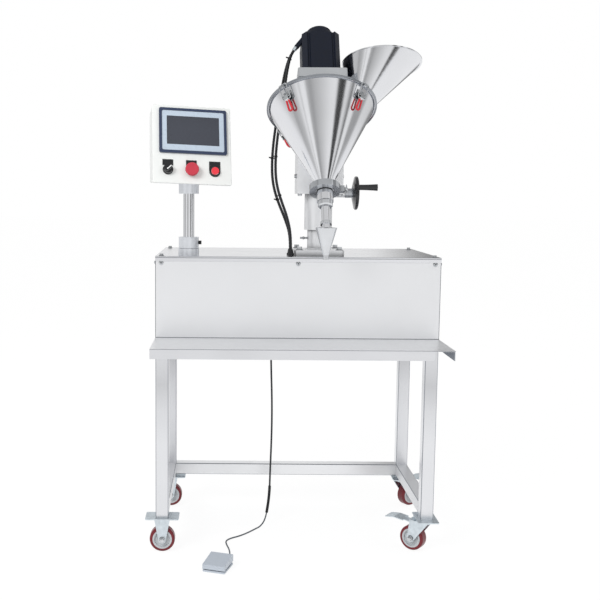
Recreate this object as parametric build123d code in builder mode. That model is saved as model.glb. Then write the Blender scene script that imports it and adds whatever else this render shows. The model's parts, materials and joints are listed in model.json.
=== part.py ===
"""Semi-automatic auger powder filler on a castored stand.

A stainless table on two fixed and two swivel castors carries a drive cabinet. A lift column on the
cabinet holds a hopper head that leans back, with an auger inside, above a filling ledge. A touch panel
stands on a swivel pole and a foot switch lies on the floor. Millimetres, +Z up, the front faces -Y, and
the origin is on the floor below the middle of the table top.
"""

from build123d import *
from math import cos, radians, sin, tan
import os

os.makedirs("parts", exist_ok=True)

# Stand
table_width = 820.0
table_depth = 660.0
table_height = 643.0
ledge_depth = 205.0
sheet = 2.0
bend_radius = 1.6
lip_height = 27.0
lip_notch = 55.0
lip_corner = 6.0
tube = 38.0
tube_wall = 1.5
tube_corner = 3.0
lower_rail_gap = 7.0
lead_x = -63.0
lead_y = 150.0

# Castors
castor_height = 105.0
wheel_radius = 37.5
wheel_width = 30.0
tyre_depth = 9.0
tyre_crown = 5.0
hub_radius = 11.0
hub_recess = 5.0
axle_radius = 4.0
axle_head = 4.0
running_fit = 0.05
wheel_side_gap = 3.0
fork_sheet = 2.5
fork_eye = 11.0
fork_top = 46.0
plate_thick = 3.0
plate_corner = 5.0
rigid_plate_length = 99.0
rigid_plate_width = 66.0
swivel_plate_length = 62.0
swivel_plate_width = 100.0
swivel_trail = 38.0
race_radius = 20.0
race_height = 7.0
kingpin_radius = 6.0
kingpin_head = 10.0
swivel_gap = 0.4
crown_front = 22.0
crown_rear = 46.0
front_swivel_angle = 143.0
rear_swivel_angle = 32.0

# Castor brakes
brake_pin_ahead = 16.0
brake_pin_above = 8.0
brake_pin_radius = 3.0
brake_eye = 6.0
brake_sheet = 2.5
brake_width = 26.0
paddle_width = 44.0
paddle_rise = 7.0
paddle_length = 58.0
brake_reach = 122.0
shoe_gap = 3.4
shoe_length = 12.0

# Cabinet
cabinet_height = 236.0
cabinet_sheet = 1.5
cabinet_flange = 18.0
lid_lip = 14.0
lid_lip_gap = 0.5
lid_bend = 1.2
lead_hole = 14.0
gear_plate = 3.0
gear_plate_length = 520.0
gear_plate_depth = 240.0
drive_box = (120.0, 150.0, 160.0)
supply_box = (110.0, 200.0, 60.0)
controller_box = (150.0, 90.0, 90.0)
gear_gap = 30.0

# Control panel on its pole
pole_inset = 93.0
pole_setback = 70.0
pole_radius = 16.0
pole_wall = 2.0
socket_flange_radius = 30.0
socket_flange_height = 19.0
socket_collar_radius = 29.0
socket_collar_height = 32.0
socket_groove = 1.2
socket_floor = 5.0
rest_gap = 0.3
pole_shoulder = 178.0
pole_collar_height = 32.0
neck_radius = 20.0
neck_depth = 12.0
clamp_screw_radius = 3.0
clamp_knob_radius = 5.5
clamp_knob_length = 8.0
clamp_knob_flutes = 6
clamp_flute = 1.6
panel_width = 230.0
panel_height = 238.0
panel_depth = 65.0
panel_corner = 6.0
panel_edge = 2.0
panel_tilt = 18.0
panel_yaw = 12.0
panel_roll = 2.0
panel_aside = 9.0
panel_rise = 109.0
bezel_width = 198.0
bezel_height = 137.0
bezel_corner = 5.0
bezel_above = 40.0
bezel_aside = 3.0
bezel_thick = 6.0
bezel_step = 1.2
bezel_border = 8.0
screen_width = 154.0
screen_height = 87.0
screen_above = 1.0
screen_recess = 1.6
control_row = 79.0
control_pitch = 68.5
control_aside = -3.0
switch_hole = 11.2
switch_hole_depth = 26.0
switch_collar = 15.0
switch_collar_height = 4.0
knob_radius = 12.5
knob_height = 14.0
knob_step = 2.0
knob_bar = 8.8
selector_rest = 40.0
mushroom_radius = 19.5
mushroom_height = 9.0
mushroom_lift = 6.0
button_height = 6.0
legend_width = 31.0
legend_height = 18.0
legend_lap = 2.0
legend_sheet = 1.0
yoke_width = 33.0
yoke_rise = 30.0

# Lift column
column_setback = 130.0
column_plate = 144.0
column_plate_thick = 16.0
column_plate_corner = 8.0
column_bolt_pitch = 117.0
column_bolt_head = 8.0
column_bolt_flats = 13.0
column_washer = 11.0
column_radius = 31.5
column_wall = 6.0
column_length = 125.0
column_foot = 5.0
nut_height = 16.0
lift_screw_radius = 8.0
lift_screw_length = 110.0
sleeve_gap = 0.4
sleeve_radius = 41.0
sleeve_bottom = 74.0
sleeve_cap = 6.0
handwheel_height = 183.0
gear_reach = 18.0
gear_inset = 8.0
gear_gap_mesh = 0.6
boss_radius = 13.0
boss_reach = 78.0
shaft_radius = 7.0
handwheel_radius = 50.0
rim_radius = 5.0
handwheel_reach = 111.0
hub_length = 26.0
wheel_hub_radius = 14.0
web_thick = 6.0
grip_offset = 33.0
grip_angle = -31.0
grip_length = 54.0
grip_radius = 10.0
grip_neck = 8.0
grip_waist = 8.5
grip_pin_radius = 4.0
grip_gap = 0.5

# Leaning head
head_x = 66.5
head_ahead = 47.0
head_rise = 427.07
head_lean = 30.0
hopper_radius = 152.0
hopper_sheet = 1.5
hopper_length = 254.0
outlet_radius = 22.0
hopper_flange = 3.0
ring_overhang = 7.0
ring_wall = 3.0
ring_height = 9.0
ring_round = 1.8
lid_sheet = 3.0
ferrule_radius = 36.0
ferrule_thick = 6.0
outlet_length = 7.0
clamp_radius = 43.0
clamp_lip = 3.0
clamp_ear = 12.0
nozzle_body_radius = 23.0
nozzle_body_length = 35.0
nozzle_radius = 12.3
nozzle_bore = 11.2
nozzle_length = 86.0
nut_radius = 20.5
nozzle_nut_height = 16.0
nut_chamfer = 3.0
guide_top_radius = 29.6
guide_tip_radius = 8.0
guide_height = 87.0
guide_spout = 12.0
guide_sheet = 1.2
guide_dip = 5.0
guide_strap = 12.0
guide_strap_sheet = 2.4
guide_ring_wall = 3.2
guide_lug = 8.2
guide_ring_height = 9.0
guide_ring_above = 14.0

# Head bracket
bracket_width = 134.0
bracket_depth = 115.0
bracket_front = 55.0
bracket_sheet = 3.0
bracket_drop = 3.0
bracket_height = 166.0

# Motor and feed funnel
mount_foot = 118.0
mount_foot_thick = 6.0
mount_neck_radius = 45.0
mount_neck_height = 51.0
mount_block = 142.0
mount_block_thick = 30.0
motor_width = 110.0
motor_length = 142.0
motor_corner = 13.0
motor_groove = 4.0
motor_groove_inset = 19.5
motor_cap_radius = 38.0
motor_cap_length = 36.0
motor_cap_round = 2.0
connector_width = 24.0
connector_thick = 14.0
connector_reach = 30.0
connector_inset = 4.0
connector_drop = 10.0
connector_ahead = 30.0
connector_dip = 50.0
connector_pitch = 12.0
neck_u = 118.0
feed_neck_radius = 36.0
feed_neck_height = 8.0
feed_mouth_radius = 116.5
feed_mouth_u = 183.5
feed_mouth_rise = 158.0
feed_lean = 18.0
feed_sheet = 1.5
feed_rim = 3.0

# Auger and agitator
auger_shaft = 6.0
auger_core = 4.5
auger_root = 0.5
auger_radius = 10.4
auger_pitch = 20.0
auger_flight = 2.2
auger_tip = 4.0
blade_top = 60.0
blade_bottom = 205.0
blade_gap = 9.0
blade_width = 8.0
blade_thick = 4.0

# Draw latches
latch_drop = 35.0
latch_turn = 43.0
latch_plate_width = 26.0
latch_plate_length = 26.0
latch_plate_sheet = 2.0
latch_ear_sheet = 2.0
latch_ear_gap = 1.0
latch_pivot_up = 8.0
latch_throw = 2.0
latch_pin_radius = 2.0
latch_pin_head = 0.6
latch_ear_radius = 4.5
lever_width = 14.0
lever_nose = 4.0
lever_tail = 14.0
lever_rise = 4.5
bail_pin_up = 0.0
bail_clear = 4.0
bail_wire = 1.5
bail_span = 27.0
bail_corner = 4.0
bail_grip = 3.0
keeper_gap = 0.3
keeper_width = 12.0
keeper_height = 6.0
keeper_hook = 3.0
handle_length = 34.0
handle_width = 19.0
handle_wire = 2.9
handle_bend = 5.3

# Foot switch
foot_x = -224.0
foot_y = -241.0
foot_yaw = -18.5
foot_width = 66.0
foot_length = 78.0
foot_front = 21.0
foot_rear = 31.0
foot_base_height = 5.0
foot_skirt = 3.0
foot_gap = 1.2
foot_inset = 1.5
foot_hinge_radius = 2.5
foot_corner = 3.0
foot_lug = 8.0

# Cords
lead_radius = 3.0
pedal_lead_radius = 2.25
lead_aside = 10.0
splice_radius = 4.5
motor_cable_radius = 4.2
gland_radius = 10.0
gland_height = 18.0
gland_hex = 6.0
gland_dome = 8.0
gland_taper = 8.0
grommet_radius = 10.5
gland_x = -18.0
gland_y = -56.0
gland_spacing = 24.0
cord_straight = 24.0
cord_lie = 2.6
bend_share = 0.45
least_turn = 0.5

# Places that follow from the sizes above
x_end = table_width / 2
y_front = -table_depth / 2
y_back = table_depth / 2
y_face = y_front + ledge_depth
tray_under = table_height - sheet
leg_x = x_end - tube / 2
leg_front_y = y_face + tube / 2
leg_rear_y = y_back - tube / 2
leg_mid_y = (leg_front_y + leg_rear_y) / 2
leg_gap_y = leg_rear_y - leg_front_y
tube_bore = tube - 2 * tube_wall
rail_half = leg_x - tube / 2
upper_rail_z = tray_under - tube / 2
lower_rail_z = castor_height + lower_rail_gap + tube / 2
lid_z = table_height + cabinet_height
pole_x = pole_inset - x_end
pole_y = y_face + pole_setback
column_y = y_face + column_setback
head_y = column_y - head_ahead
head_z = lid_z + head_rise
ring_radius = hopper_radius + ring_overhang
bail_pin_out = ring_overhang + bail_clear
latch_pivot_out = bail_pin_out - latch_throw
keeper_out = bail_pin_out + keeper_hook

with BuildPart() as table_legs:
    with BuildSketch(Plane.XY.offset(castor_height)):
        with Locations((0, leg_mid_y)):
            with GridLocations(2 * leg_x, leg_gap_y, 2, 2):
                RectangleRounded(tube, tube, tube_corner)
                Rectangle(tube_bore, tube_bore, mode=Mode.SUBTRACT)
    extrude(amount=tray_under - castor_height)
table_legs.part.label = "table_legs"
export_step(table_legs.part, "parts/table_legs.step")

side_rail_spots = [(x, z) for x in (-leg_x, leg_x) for z in (upper_rail_z, lower_rail_z)]
with BuildPart() as frame_rails:
    with BuildSketch(Plane.YZ.offset(-rail_half)):
        with Locations((leg_front_y, upper_rail_z), (leg_rear_y, upper_rail_z), (leg_rear_y, lower_rail_z)):
            RectangleRounded(tube, tube, tube_corner)
            Rectangle(tube_bore, tube_bore, mode=Mode.SUBTRACT)
    extrude(amount=2 * rail_half)
    with BuildSketch(Plane.XZ.offset(-leg_front_y - tube / 2)):
        with Locations(*side_rail_spots):
            RectangleRounded(tube, tube, tube_corner)
            Rectangle(tube_bore, tube_bore, mode=Mode.SUBTRACT)
    extrude(amount=tube - leg_gap_y)
frame_rails.part.label = "frame_rails"
export_step(frame_rails.part, "parts/frame_rails.step")

# The folded tray: a full top, side lips beside the ledge and a front lip that stops short on the right
lip_drop = lip_height - sheet
lip_end_x = x_end - lip_notch
with BuildPart() as table_top:
    with BuildSketch(Plane.XY.offset(tray_under)):
        Rectangle(table_width, table_depth)
        with Locations((lead_x, lead_y)):
            Circle(lead_hole / 2, mode=Mode.SUBTRACT)
    extrude(amount=sheet)
    with BuildSketch(Plane.XZ.offset(-y_front)):
        with Locations((-lip_notch / 2, tray_under)):
            Rectangle(table_width - lip_notch, lip_drop, align=(Align.CENTER, Align.MAX))
    extrude(amount=-sheet)
    with BuildSketch(Plane.YZ.offset(-x_end)):
        with Locations((y_front, tray_under)):
            Rectangle(ledge_depth, lip_drop, align=(Align.MIN, Align.MAX))
    extrude(amount=sheet)
    with BuildSketch(Plane.YZ.offset(x_end - sheet)):
        with Locations((y_front, tray_under)):
            Rectangle(ledge_depth, lip_drop, align=(Align.MIN, Align.MAX))
    extrude(amount=sheet)
    top_edges = table_top.edges().group_by(Axis.Z)[-1]
    fillet(top_edges.filter_by(Axis.X).sort_by(Axis.Y)[0], bend_radius)
    lip_ends = table_top.edges().filter_by(Axis.Y)
    lip_ends = lip_ends.filter_by_position(Axis.X, lip_end_x - sheet, lip_end_x + sheet)
    fillet(lip_ends.sort_by(Axis.Z)[0], lip_corner)
table_top.part.label = "table_top"
export_step(table_top.part, "parts/table_top.step")

# Castors: fixed forks on the left, swivel plates with kingpins on the right
fork_inner = wheel_width / 2 + wheel_side_gap
fork_outer = fork_inner + fork_sheet
plate_under = castor_height - plate_thick
race_under = plate_under - race_height
crown_top = race_under - swivel_gap
crown_under = crown_top - fork_sheet
kingpin_end = crown_under - swivel_gap - plate_thick
axle_half = fork_outer + axle_head
left_legs = [(-leg_x, leg_front_y), (-leg_x, leg_rear_y)]
right_legs = [(leg_x, leg_front_y), (leg_x, leg_rear_y)]

with BuildPart() as castor_mounts:
    with BuildSketch(Plane.XY.offset(plate_under)):
        with Locations(*left_legs):
            RectangleRounded(rigid_plate_length, rigid_plate_width, plate_corner)
        with Locations(*right_legs):
            RectangleRounded(swivel_plate_length, swivel_plate_width, plate_corner)
    extrude(amount=plate_thick)
    with BuildSketch(Plane.XY.offset(plate_under - fork_sheet)):
        with Locations(*left_legs):
            Rectangle(fork_top, 2 * fork_outer)
    extrude(amount=fork_sheet)
    for leg_y in (leg_front_y, leg_rear_y):
        for cheek_y in (leg_y - fork_outer, leg_y + fork_inner):
            with BuildSketch(Plane.XZ.offset(-cheek_y)):
                with Locations((-leg_x, plate_under - fork_sheet / 2)):
                    Rectangle(fork_top, fork_sheet)
                with Locations((-leg_x, wheel_radius)):
                    Circle(fork_eye)
                make_hull()
            extrude(amount=-fork_sheet)
        with BuildSketch(Plane.XZ.offset(axle_half - leg_y)):
            with Locations((-leg_x, wheel_radius)):
                Circle(axle_radius)
        extrude(amount=-2 * axle_half)
    with BuildSketch(Plane.XY.offset(race_under)):
        with Locations(*right_legs):
            Circle(race_radius)
    extrude(amount=race_height)
    with BuildSketch(Plane.XY.offset(kingpin_end)):
        with Locations(*right_legs):
            Circle(kingpin_radius)
    extrude(amount=race_under - kingpin_end)
    with BuildSketch(Plane.XY.offset(kingpin_end)):
        with Locations(*right_legs):
            Circle(kingpin_head)
    extrude(amount=plate_thick)
castor_mounts.part.label = "castor_mounts"
export_step(castor_mounts.part, "parts/castor_mounts.step")

# One swivel fork about the kingpin, trailing along +X, and one brake lever on its pin
brake_pin_x = swivel_trail - brake_pin_ahead
brake_pin_z = 2 * wheel_radius + brake_pin_above
lever_under = brake_pin_z + brake_pin_radius / 2
with BuildPart() as swivel_fork:
    with BuildSketch(Plane.XY.offset(crown_under)):
        with Locations(((crown_rear - crown_front) / 2, 0)):
            RectangleRounded(crown_front + crown_rear, 2 * fork_outer, plate_corner)
        Circle(kingpin_radius + running_fit, mode=Mode.SUBTRACT)
    extrude(amount=fork_sheet)
    for cheek_y in (-fork_outer, fork_inner):
        with BuildSketch(Plane.XZ.offset(-cheek_y)):
            with Locations(((crown_rear - crown_front) / 2, crown_under + fork_sheet / 2)):
                Rectangle(crown_front + crown_rear - 2 * plate_corner, fork_sheet)
            with Locations((swivel_trail, wheel_radius)):
                Circle(fork_eye)
            make_hull()
        extrude(amount=-fork_sheet)
    with BuildSketch(Plane.XZ.offset(axle_half)):
        with Locations((swivel_trail, wheel_radius)):
            Circle(axle_radius)
    extrude(amount=-2 * axle_half)
    with BuildSketch(Plane.XZ.offset(fork_outer)):
        with Locations((brake_pin_x, brake_pin_z)):
            Circle(brake_pin_radius)
    extrude(amount=-2 * fork_outer)

shoe_z = 2 * wheel_radius + shoe_gap
paddle_start = brake_reach - paddle_length
arm_end = paddle_start + brake_sheet
with BuildPart() as brake_lever:
    with BuildSketch(Plane.XZ.offset(brake_width / 2)):
        with BuildLine():
            Polyline(
                (brake_pin_x - brake_eye, lever_under),
                (crown_rear, lever_under),
                (arm_end, lever_under + paddle_rise / 2),
                (arm_end, lever_under + paddle_rise / 2 + brake_sheet),
                (crown_rear, lever_under + brake_sheet),
                (brake_pin_x - brake_eye, lever_under + brake_sheet),
                close=True,
            )
        make_face()
        with Locations((brake_pin_x, brake_pin_z)):
            Circle(brake_eye)
        with Locations((swivel_trail, shoe_z)):
            Rectangle(shoe_length, lever_under - shoe_z + brake_sheet, align=(Align.CENTER, Align.MIN))
        with Locations((brake_pin_x, brake_pin_z)):
            Circle(brake_pin_radius + running_fit, mode=Mode.SUBTRACT)
    extrude(amount=-brake_width)
    with BuildSketch(Plane.XZ.offset(paddle_width / 2)):
        with BuildLine():
            Polyline(
                (paddle_start, lever_under + paddle_rise / 2),
                (paddle_start + paddle_length / 2, lever_under + paddle_rise),
                (brake_reach, lever_under + paddle_rise / 2),
                (brake_reach, lever_under + paddle_rise / 2 + brake_sheet),
                (paddle_start + paddle_length / 2, lever_under + paddle_rise + brake_sheet),
                (paddle_start, lever_under + paddle_rise / 2 + brake_sheet),
                close=True,
            )
        make_face()
    extrude(amount=-paddle_width)

# One wheel about Y: a crowned tyre bonded on a hub with a dished web
hub_rim = wheel_radius - tyre_depth
half_width = wheel_width / 2
with BuildPart() as castor_wheel:
    with BuildSketch(Plane.XY):
        with BuildLine():
            Polyline(
                (axle_radius + running_fit, -half_width),
                (hub_radius, -half_width),
                (hub_radius, hub_recess - half_width),
                (hub_rim - tyre_crown, hub_recess - half_width),
                (hub_rim - tyre_crown, -half_width),
                (wheel_radius - tyre_crown, -half_width),
            )
            TangentArc(
                (wheel_radius - tyre_crown, -half_width),
                (wheel_radius, tyre_crown - half_width),
                tangent=(1, 0),
            )
            Line((wheel_radius, tyre_crown - half_width), (wheel_radius, 0))
            Line((wheel_radius, 0), (axle_radius + running_fit, 0))
            Line((axle_radius + running_fit, 0), (axle_radius + running_fit, -half_width))
        make_face()
    revolve(axis=Axis.Y)
    mirror(about=Plane.XZ)

front_swivel = Location((leg_x, leg_front_y, 0), (0, 0, front_swivel_angle))
rear_swivel = Location((leg_x, leg_rear_y, 0), (0, 0, rear_swivel_angle))
wheel_on_fork = Location((swivel_trail, 0, wheel_radius))
castor_pieces = {
    "front_left_wheel": Location((-leg_x, leg_front_y, wheel_radius)) * castor_wheel.part,
    "rear_left_wheel": Location((-leg_x, leg_rear_y, wheel_radius)) * castor_wheel.part,
    "front_right_wheel": front_swivel * wheel_on_fork * castor_wheel.part,
    "rear_right_wheel": rear_swivel * wheel_on_fork * castor_wheel.part,
    "front_right_fork": front_swivel * swivel_fork.part,
    "rear_right_fork": rear_swivel * swivel_fork.part,
    "front_right_brake": front_swivel * brake_lever.part,
    "rear_right_brake": rear_swivel * brake_lever.part,
}
for label, piece in castor_pieces.items():
    piece.label = label
    export_step(piece, f"parts/{label}.step")

# Cabinet: an open-topped box, a front panel and a lid with a folded front lip
lid_under = lid_z - cabinet_sheet
cabinet_mid_y = (y_face + cabinet_sheet + y_back) / 2
cabinet_depth = y_back - y_face - cabinet_sheet
inner_width = table_width - 2 * cabinet_sheet
with BuildPart() as cabinet_body:
    with BuildSketch(Plane.XY.offset(table_height)):
        with Locations((0, cabinet_mid_y)):
            Rectangle(table_width, cabinet_depth)
            with Locations((0, -cabinet_sheet)):
                Rectangle(inner_width, cabinet_depth, mode=Mode.SUBTRACT)
    extrude(amount=lid_under - table_height)
    with BuildSketch(Plane.XY.offset(table_height)):
        with Locations((0, cabinet_mid_y)):
            Rectangle(table_width, cabinet_depth)
        with Locations((lead_x, lead_y)):
            Circle(lead_hole / 2, mode=Mode.SUBTRACT)
    extrude(amount=cabinet_sheet)
    with BuildSketch(Plane.XZ.offset(-y_face - cabinet_sheet)):
        with Locations((0, (table_height + lid_under) / 2)):
            Rectangle(table_width, lid_under - table_height)
            Rectangle(
                inner_width - 2 * cabinet_flange,
                lid_under - table_height - 2 * cabinet_flange,
                mode=Mode.SUBTRACT,
            )
    extrude(amount=-cabinet_sheet)
cabinet_body.part.label = "cabinet_body"
export_step(cabinet_body.part, "parts/cabinet_body.step")

with BuildPart() as cabinet_front:
    with BuildSketch(Plane.XZ.offset(-y_face)):
        with Locations((0, table_height)):
            Rectangle(table_width, lid_under - table_height, align=(Align.CENTER, Align.MIN))
    extrude(amount=-cabinet_sheet)
cabinet_front.part.label = "cabinet_front"
export_step(cabinet_front.part, "parts/cabinet_front.step")

lip_face_y = y_face - lid_lip_gap - cabinet_sheet
with BuildPart() as cabinet_lid:
    with BuildSketch(Plane.XY.offset(lid_under)):
        with Locations((0, lip_face_y)):
            Rectangle(table_width, y_back - lip_face_y, align=(Align.CENTER, Align.MIN))
    extrude(amount=cabinet_sheet)
    with BuildSketch(Plane.XZ.offset(-lip_face_y)):
        with Locations((0, lid_under)):
            Rectangle(table_width, lid_lip - cabinet_sheet, align=(Align.CENTER, Align.MAX))
    extrude(amount=-cabinet_sheet)
    fold = cabinet_lid.edges().group_by(Axis.Z)[-1].filter_by(Axis.X).sort_by(Axis.Y)[0]
    fillet(fold, lid_bend)
cabinet_lid.part.label = "cabinet_lid"
export_step(cabinet_lid.part, "parts/cabinet_lid.step")

# Electrical gear on one mounting plate: motor drive, power supply and controller
gear_z = table_height + cabinet_sheet
gear_y = y_back - cabinet_sheet - gear_gap - gear_plate_depth / 2
box_z = gear_z + gear_plate
supply_x = drive_box[0] / 2 + gear_gap + supply_box[0] / 2
controller_x = drive_box[0] / 2 + gear_gap + controller_box[0] / 2
with BuildPart() as control_gear:
    with Locations((0, gear_y, gear_z)):
        Box(gear_plate_length, gear_plate_depth, gear_plate, align=(Align.CENTER, Align.CENTER, Align.MIN))
    with Locations((0, gear_y, box_z)):
        Box(*drive_box, align=(Align.CENTER, Align.CENTER, Align.MIN))
    with Locations((supply_x, gear_y, box_z)):
        Box(*supply_box, align=(Align.CENTER, Align.CENTER, Align.MIN))
    with Locations((-controller_x, gear_y + gear_gap, box_z)):
        Box(*controller_box, align=(Align.CENTER, Align.CENTER, Align.MIN))
control_gear.part.label = "control_gear"
export_step(control_gear.part, "parts/control_gear.step")

# Pole socket, swivel pole and its clamp screw
collar_bottom = lid_z + socket_flange_height + socket_groove
collar_top = collar_bottom + socket_collar_height
clamp_z = (collar_bottom + collar_top) / 2
pole_plane = Plane.XY.offset(lid_z).shift_origin((pole_x, pole_y, lid_z))
clamp_plane = Plane(origin=(pole_x, pole_y, clamp_z), x_dir=(0, 1, 0), z_dir=(1, 0, 0))
pole_bore = pole_radius + running_fit
with BuildPart() as pole_socket:
    with BuildSketch(pole_plane):
        Circle(socket_flange_radius)
    extrude(amount=socket_flange_height)
    with BuildSketch(pole_plane):
        Circle((socket_collar_radius + pole_radius) / 2)
    extrude(amount=collar_top - lid_z)
    with BuildSketch(pole_plane.offset(collar_bottom - lid_z)):
        Circle(socket_collar_radius)
    extrude(amount=socket_collar_height)
    with BuildSketch(pole_plane.offset(socket_floor)):
        Circle(pole_bore)
    extrude(amount=collar_top - lid_z, mode=Mode.SUBTRACT)
    with BuildSketch(clamp_plane):
        Circle(clamp_screw_radius + running_fit)
    extrude(amount=socket_collar_radius + rest_gap, mode=Mode.SUBTRACT)
pole_socket.part.label = "pole_socket"
export_step(pole_socket.part, "parts/pole_socket.step")

shoulder_z = lid_z + pole_shoulder
neck_z = shoulder_z + pole_collar_height
with BuildPart() as panel_pole:
    with BuildSketch(pole_plane.offset(socket_floor + rest_gap)):
        Circle(pole_radius)
        Circle(pole_radius - pole_wall, mode=Mode.SUBTRACT)
    extrude(amount=pole_shoulder - socket_floor - rest_gap)
    with BuildSketch(pole_plane.offset(pole_shoulder)):
        Circle(socket_collar_radius)
    extrude(amount=pole_collar_height)
    with BuildSketch(pole_plane.offset(pole_shoulder + pole_collar_height)):
        Circle(neck_radius)
    extrude(amount=neck_depth)
panel_pole.part.label = "panel_pole"
export_step(panel_pole.part, "parts/panel_pole.step")

with BuildPart() as pole_screw:
    with BuildSketch(clamp_plane.offset(pole_radius + rest_gap)):
        Circle(clamp_screw_radius)
    extrude(amount=socket_collar_radius - pole_radius + clamp_knob_length / 2)
    with BuildSketch(clamp_plane.offset(socket_collar_radius + rest_gap)):
        Circle(clamp_knob_radius)
        with PolarLocations(clamp_knob_radius, clamp_knob_flutes):
            Circle(clamp_flute, mode=Mode.SUBTRACT)
    extrude(amount=clamp_knob_length)
pole_screw.part.label = "pole_screw"
export_step(pole_screw.part, "parts/pole_screw.step")

# The panel faces the viewer, leaning back and turned a little; its controls share one plane.
# Its underside is cut level, so the box stands flat on the pole's collar.
panel_out = Vector(0, -1, 0).rotate(Axis.X, -panel_tilt).rotate(Axis.Z, panel_yaw)
panel_right = Vector(1, 0, 0).rotate(Axis.Z, panel_yaw).rotate(Axis((0, 0, 0), panel_out), -panel_roll)
panel_middle = Vector(pole_x + panel_aside, pole_y, neck_z + panel_rise)
panel_face = Plane(origin=panel_middle, x_dir=panel_right, z_dir=panel_out)
control_spots = [(control_aside + step * control_pitch, -control_row) for step in (-1, 0, 1)]
start_spot = control_spots[2]
panel_foot = -panel_height / 2
level_rise = (panel_depth - panel_edge) * tan(radians(panel_tilt))
panel_left = panel_middle - panel_face.x_dir * (panel_width / 2)
panel_side = Plane(origin=panel_left, x_dir=panel_face.y_dir, z_dir=panel_face.x_dir)
with BuildPart() as panel_box:
    with BuildSketch(panel_face):
        RectangleRounded(panel_width, panel_height, panel_corner)
    extrude(amount=-panel_depth)
    fillet(panel_box.faces().sort_by(Axis((0, 0, 0), panel_out))[-1].edges(), panel_edge)
    with BuildSketch(panel_side):
        with BuildLine():
            Polyline(
                (panel_foot, -panel_edge),
                (panel_foot, -panel_depth),
                (panel_foot + level_rise, -panel_depth),
                close=True,
            )
        make_face()
    extrude(amount=panel_width, mode=Mode.SUBTRACT)
    with BuildSketch(panel_face):
        with Locations(*control_spots):
            Circle(switch_hole)
    extrude(amount=-switch_hole_depth, mode=Mode.SUBTRACT)
    with BuildSketch(pole_plane.offset(neck_z - lid_z)):
        Circle(neck_radius)
    extrude(amount=neck_depth, mode=Mode.SUBTRACT)
    with BuildSketch(pole_plane.offset(pole_shoulder)):
        Circle(socket_collar_radius + rest_gap)
    extrude(amount=pole_collar_height + rest_gap, mode=Mode.SUBTRACT)
panel_box.part.label = "panel_box"
export_step(panel_box.part, "parts/panel_box.step")

with BuildPart() as screen_bezel:
    with BuildSketch(panel_face):
        with Locations((bezel_aside, bezel_above)):
            RectangleRounded(bezel_width, bezel_height, bezel_corner)
    extrude(amount=bezel_thick)
    with BuildSketch(panel_face.offset(bezel_thick - bezel_step)):
        with Locations((bezel_aside, bezel_above)):
            RectangleRounded(bezel_width - 2 * bezel_border, bezel_height - 2 * bezel_border, bezel_corner)
    extrude(amount=bezel_step, mode=Mode.SUBTRACT)
    with BuildSketch(panel_face.offset(bezel_thick - bezel_step - screen_recess)):
        with Locations((bezel_aside, bezel_above + screen_above)):
            Rectangle(screen_width, screen_height)
    extrude(amount=bezel_step + screen_recess, mode=Mode.SUBTRACT)
screen_bezel.part.label = "screen_bezel"
export_step(screen_bezel.part, "parts/screen_bezel.step")

with BuildPart() as screen_glass:
    with BuildSketch(panel_face.offset(bezel_thick - bezel_step - screen_recess)):
        with Locations((bezel_aside, bezel_above + screen_above)):
            Rectangle(screen_width, screen_height)
    extrude(amount=screen_recess / 2)
screen_glass.part.label = "screen_glass"
export_step(screen_glass.part, "parts/screen_glass.step")

legend_shift = switch_collar + legend_height / 2 - legend_lap
with BuildPart() as switch_surrounds:
    with BuildSketch(panel_face):
        with Locations(*[(x, y + legend_shift) for x, y in control_spots[:2]]):
            Rectangle(legend_width, legend_height)
        with Locations(start_spot):
            Circle(yoke_width / 2)
            Rectangle(yoke_width, yoke_rise, align=(Align.CENTER, Align.MIN))
        with Locations(*control_spots):
            Circle(switch_collar, mode=Mode.SUBTRACT)
    extrude(amount=legend_sheet)
    with BuildSketch(panel_face):
        with Locations(*control_spots):
            Circle(switch_collar)
            Circle(switch_hole, mode=Mode.SUBTRACT)
    extrude(amount=switch_collar_height)
switch_surrounds.part.label = "switch_surrounds"
export_step(switch_surrounds.part, "parts/switch_surrounds.step")

# Selector, emergency stop and start button slide or turn in their collars
plunger_depth = switch_hole_depth / 2
with BuildPart() as selector_knob:
    with BuildSketch(panel_face.offset(-plunger_depth)):
        with Locations(control_spots[0]):
            Circle(switch_hole - running_fit)
    extrude(amount=plunger_depth + switch_collar_height + rest_gap)
    with BuildSketch(panel_face.offset(switch_collar_height + rest_gap)):
        with Locations(control_spots[0]):
            Circle(knob_radius)
    extrude(amount=knob_height / 2)
    with BuildSketch(panel_face.offset(switch_collar_height + rest_gap + knob_height / 2)):
        with Locations(Location((*control_spots[0], 0), (0, 0, selector_rest))):
            SlotOverall(2 * knob_radius - knob_step, knob_bar)
    extrude(amount=knob_height / 2)
selector_knob.part.label = "selector_knob"
export_step(selector_knob.part, "parts/selector_knob.step")

with BuildPart() as estop_button:
    with BuildSketch(panel_face.offset(-plunger_depth)):
        with Locations(control_spots[1]):
            Circle(switch_hole - running_fit)
    extrude(amount=plunger_depth + switch_collar_height + mushroom_lift)
    with BuildSketch(panel_face.offset(switch_collar_height + mushroom_lift)):
        with Locations(control_spots[1]):
            Circle(mushroom_radius)
    extrude(amount=mushroom_height)
    fillet(estop_button.faces().sort_by(Axis((0, 0, 0), panel_out))[-1].edges(), mushroom_height / 3)
estop_button.part.label = "estop_button"
export_step(estop_button.part, "parts/estop_button.step")

with BuildPart() as start_button:
    with BuildSketch(panel_face.offset(-plunger_depth)):
        with Locations(start_spot):
            Circle(switch_hole - running_fit)
    extrude(amount=plunger_depth + switch_collar_height + button_height)
    fillet(start_button.faces().sort_by(Axis((0, 0, 0), panel_out))[-1].edges(), button_height / 4)
start_button.part.label = "start_button"
export_step(start_button.part, "parts/start_button.step")

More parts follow.
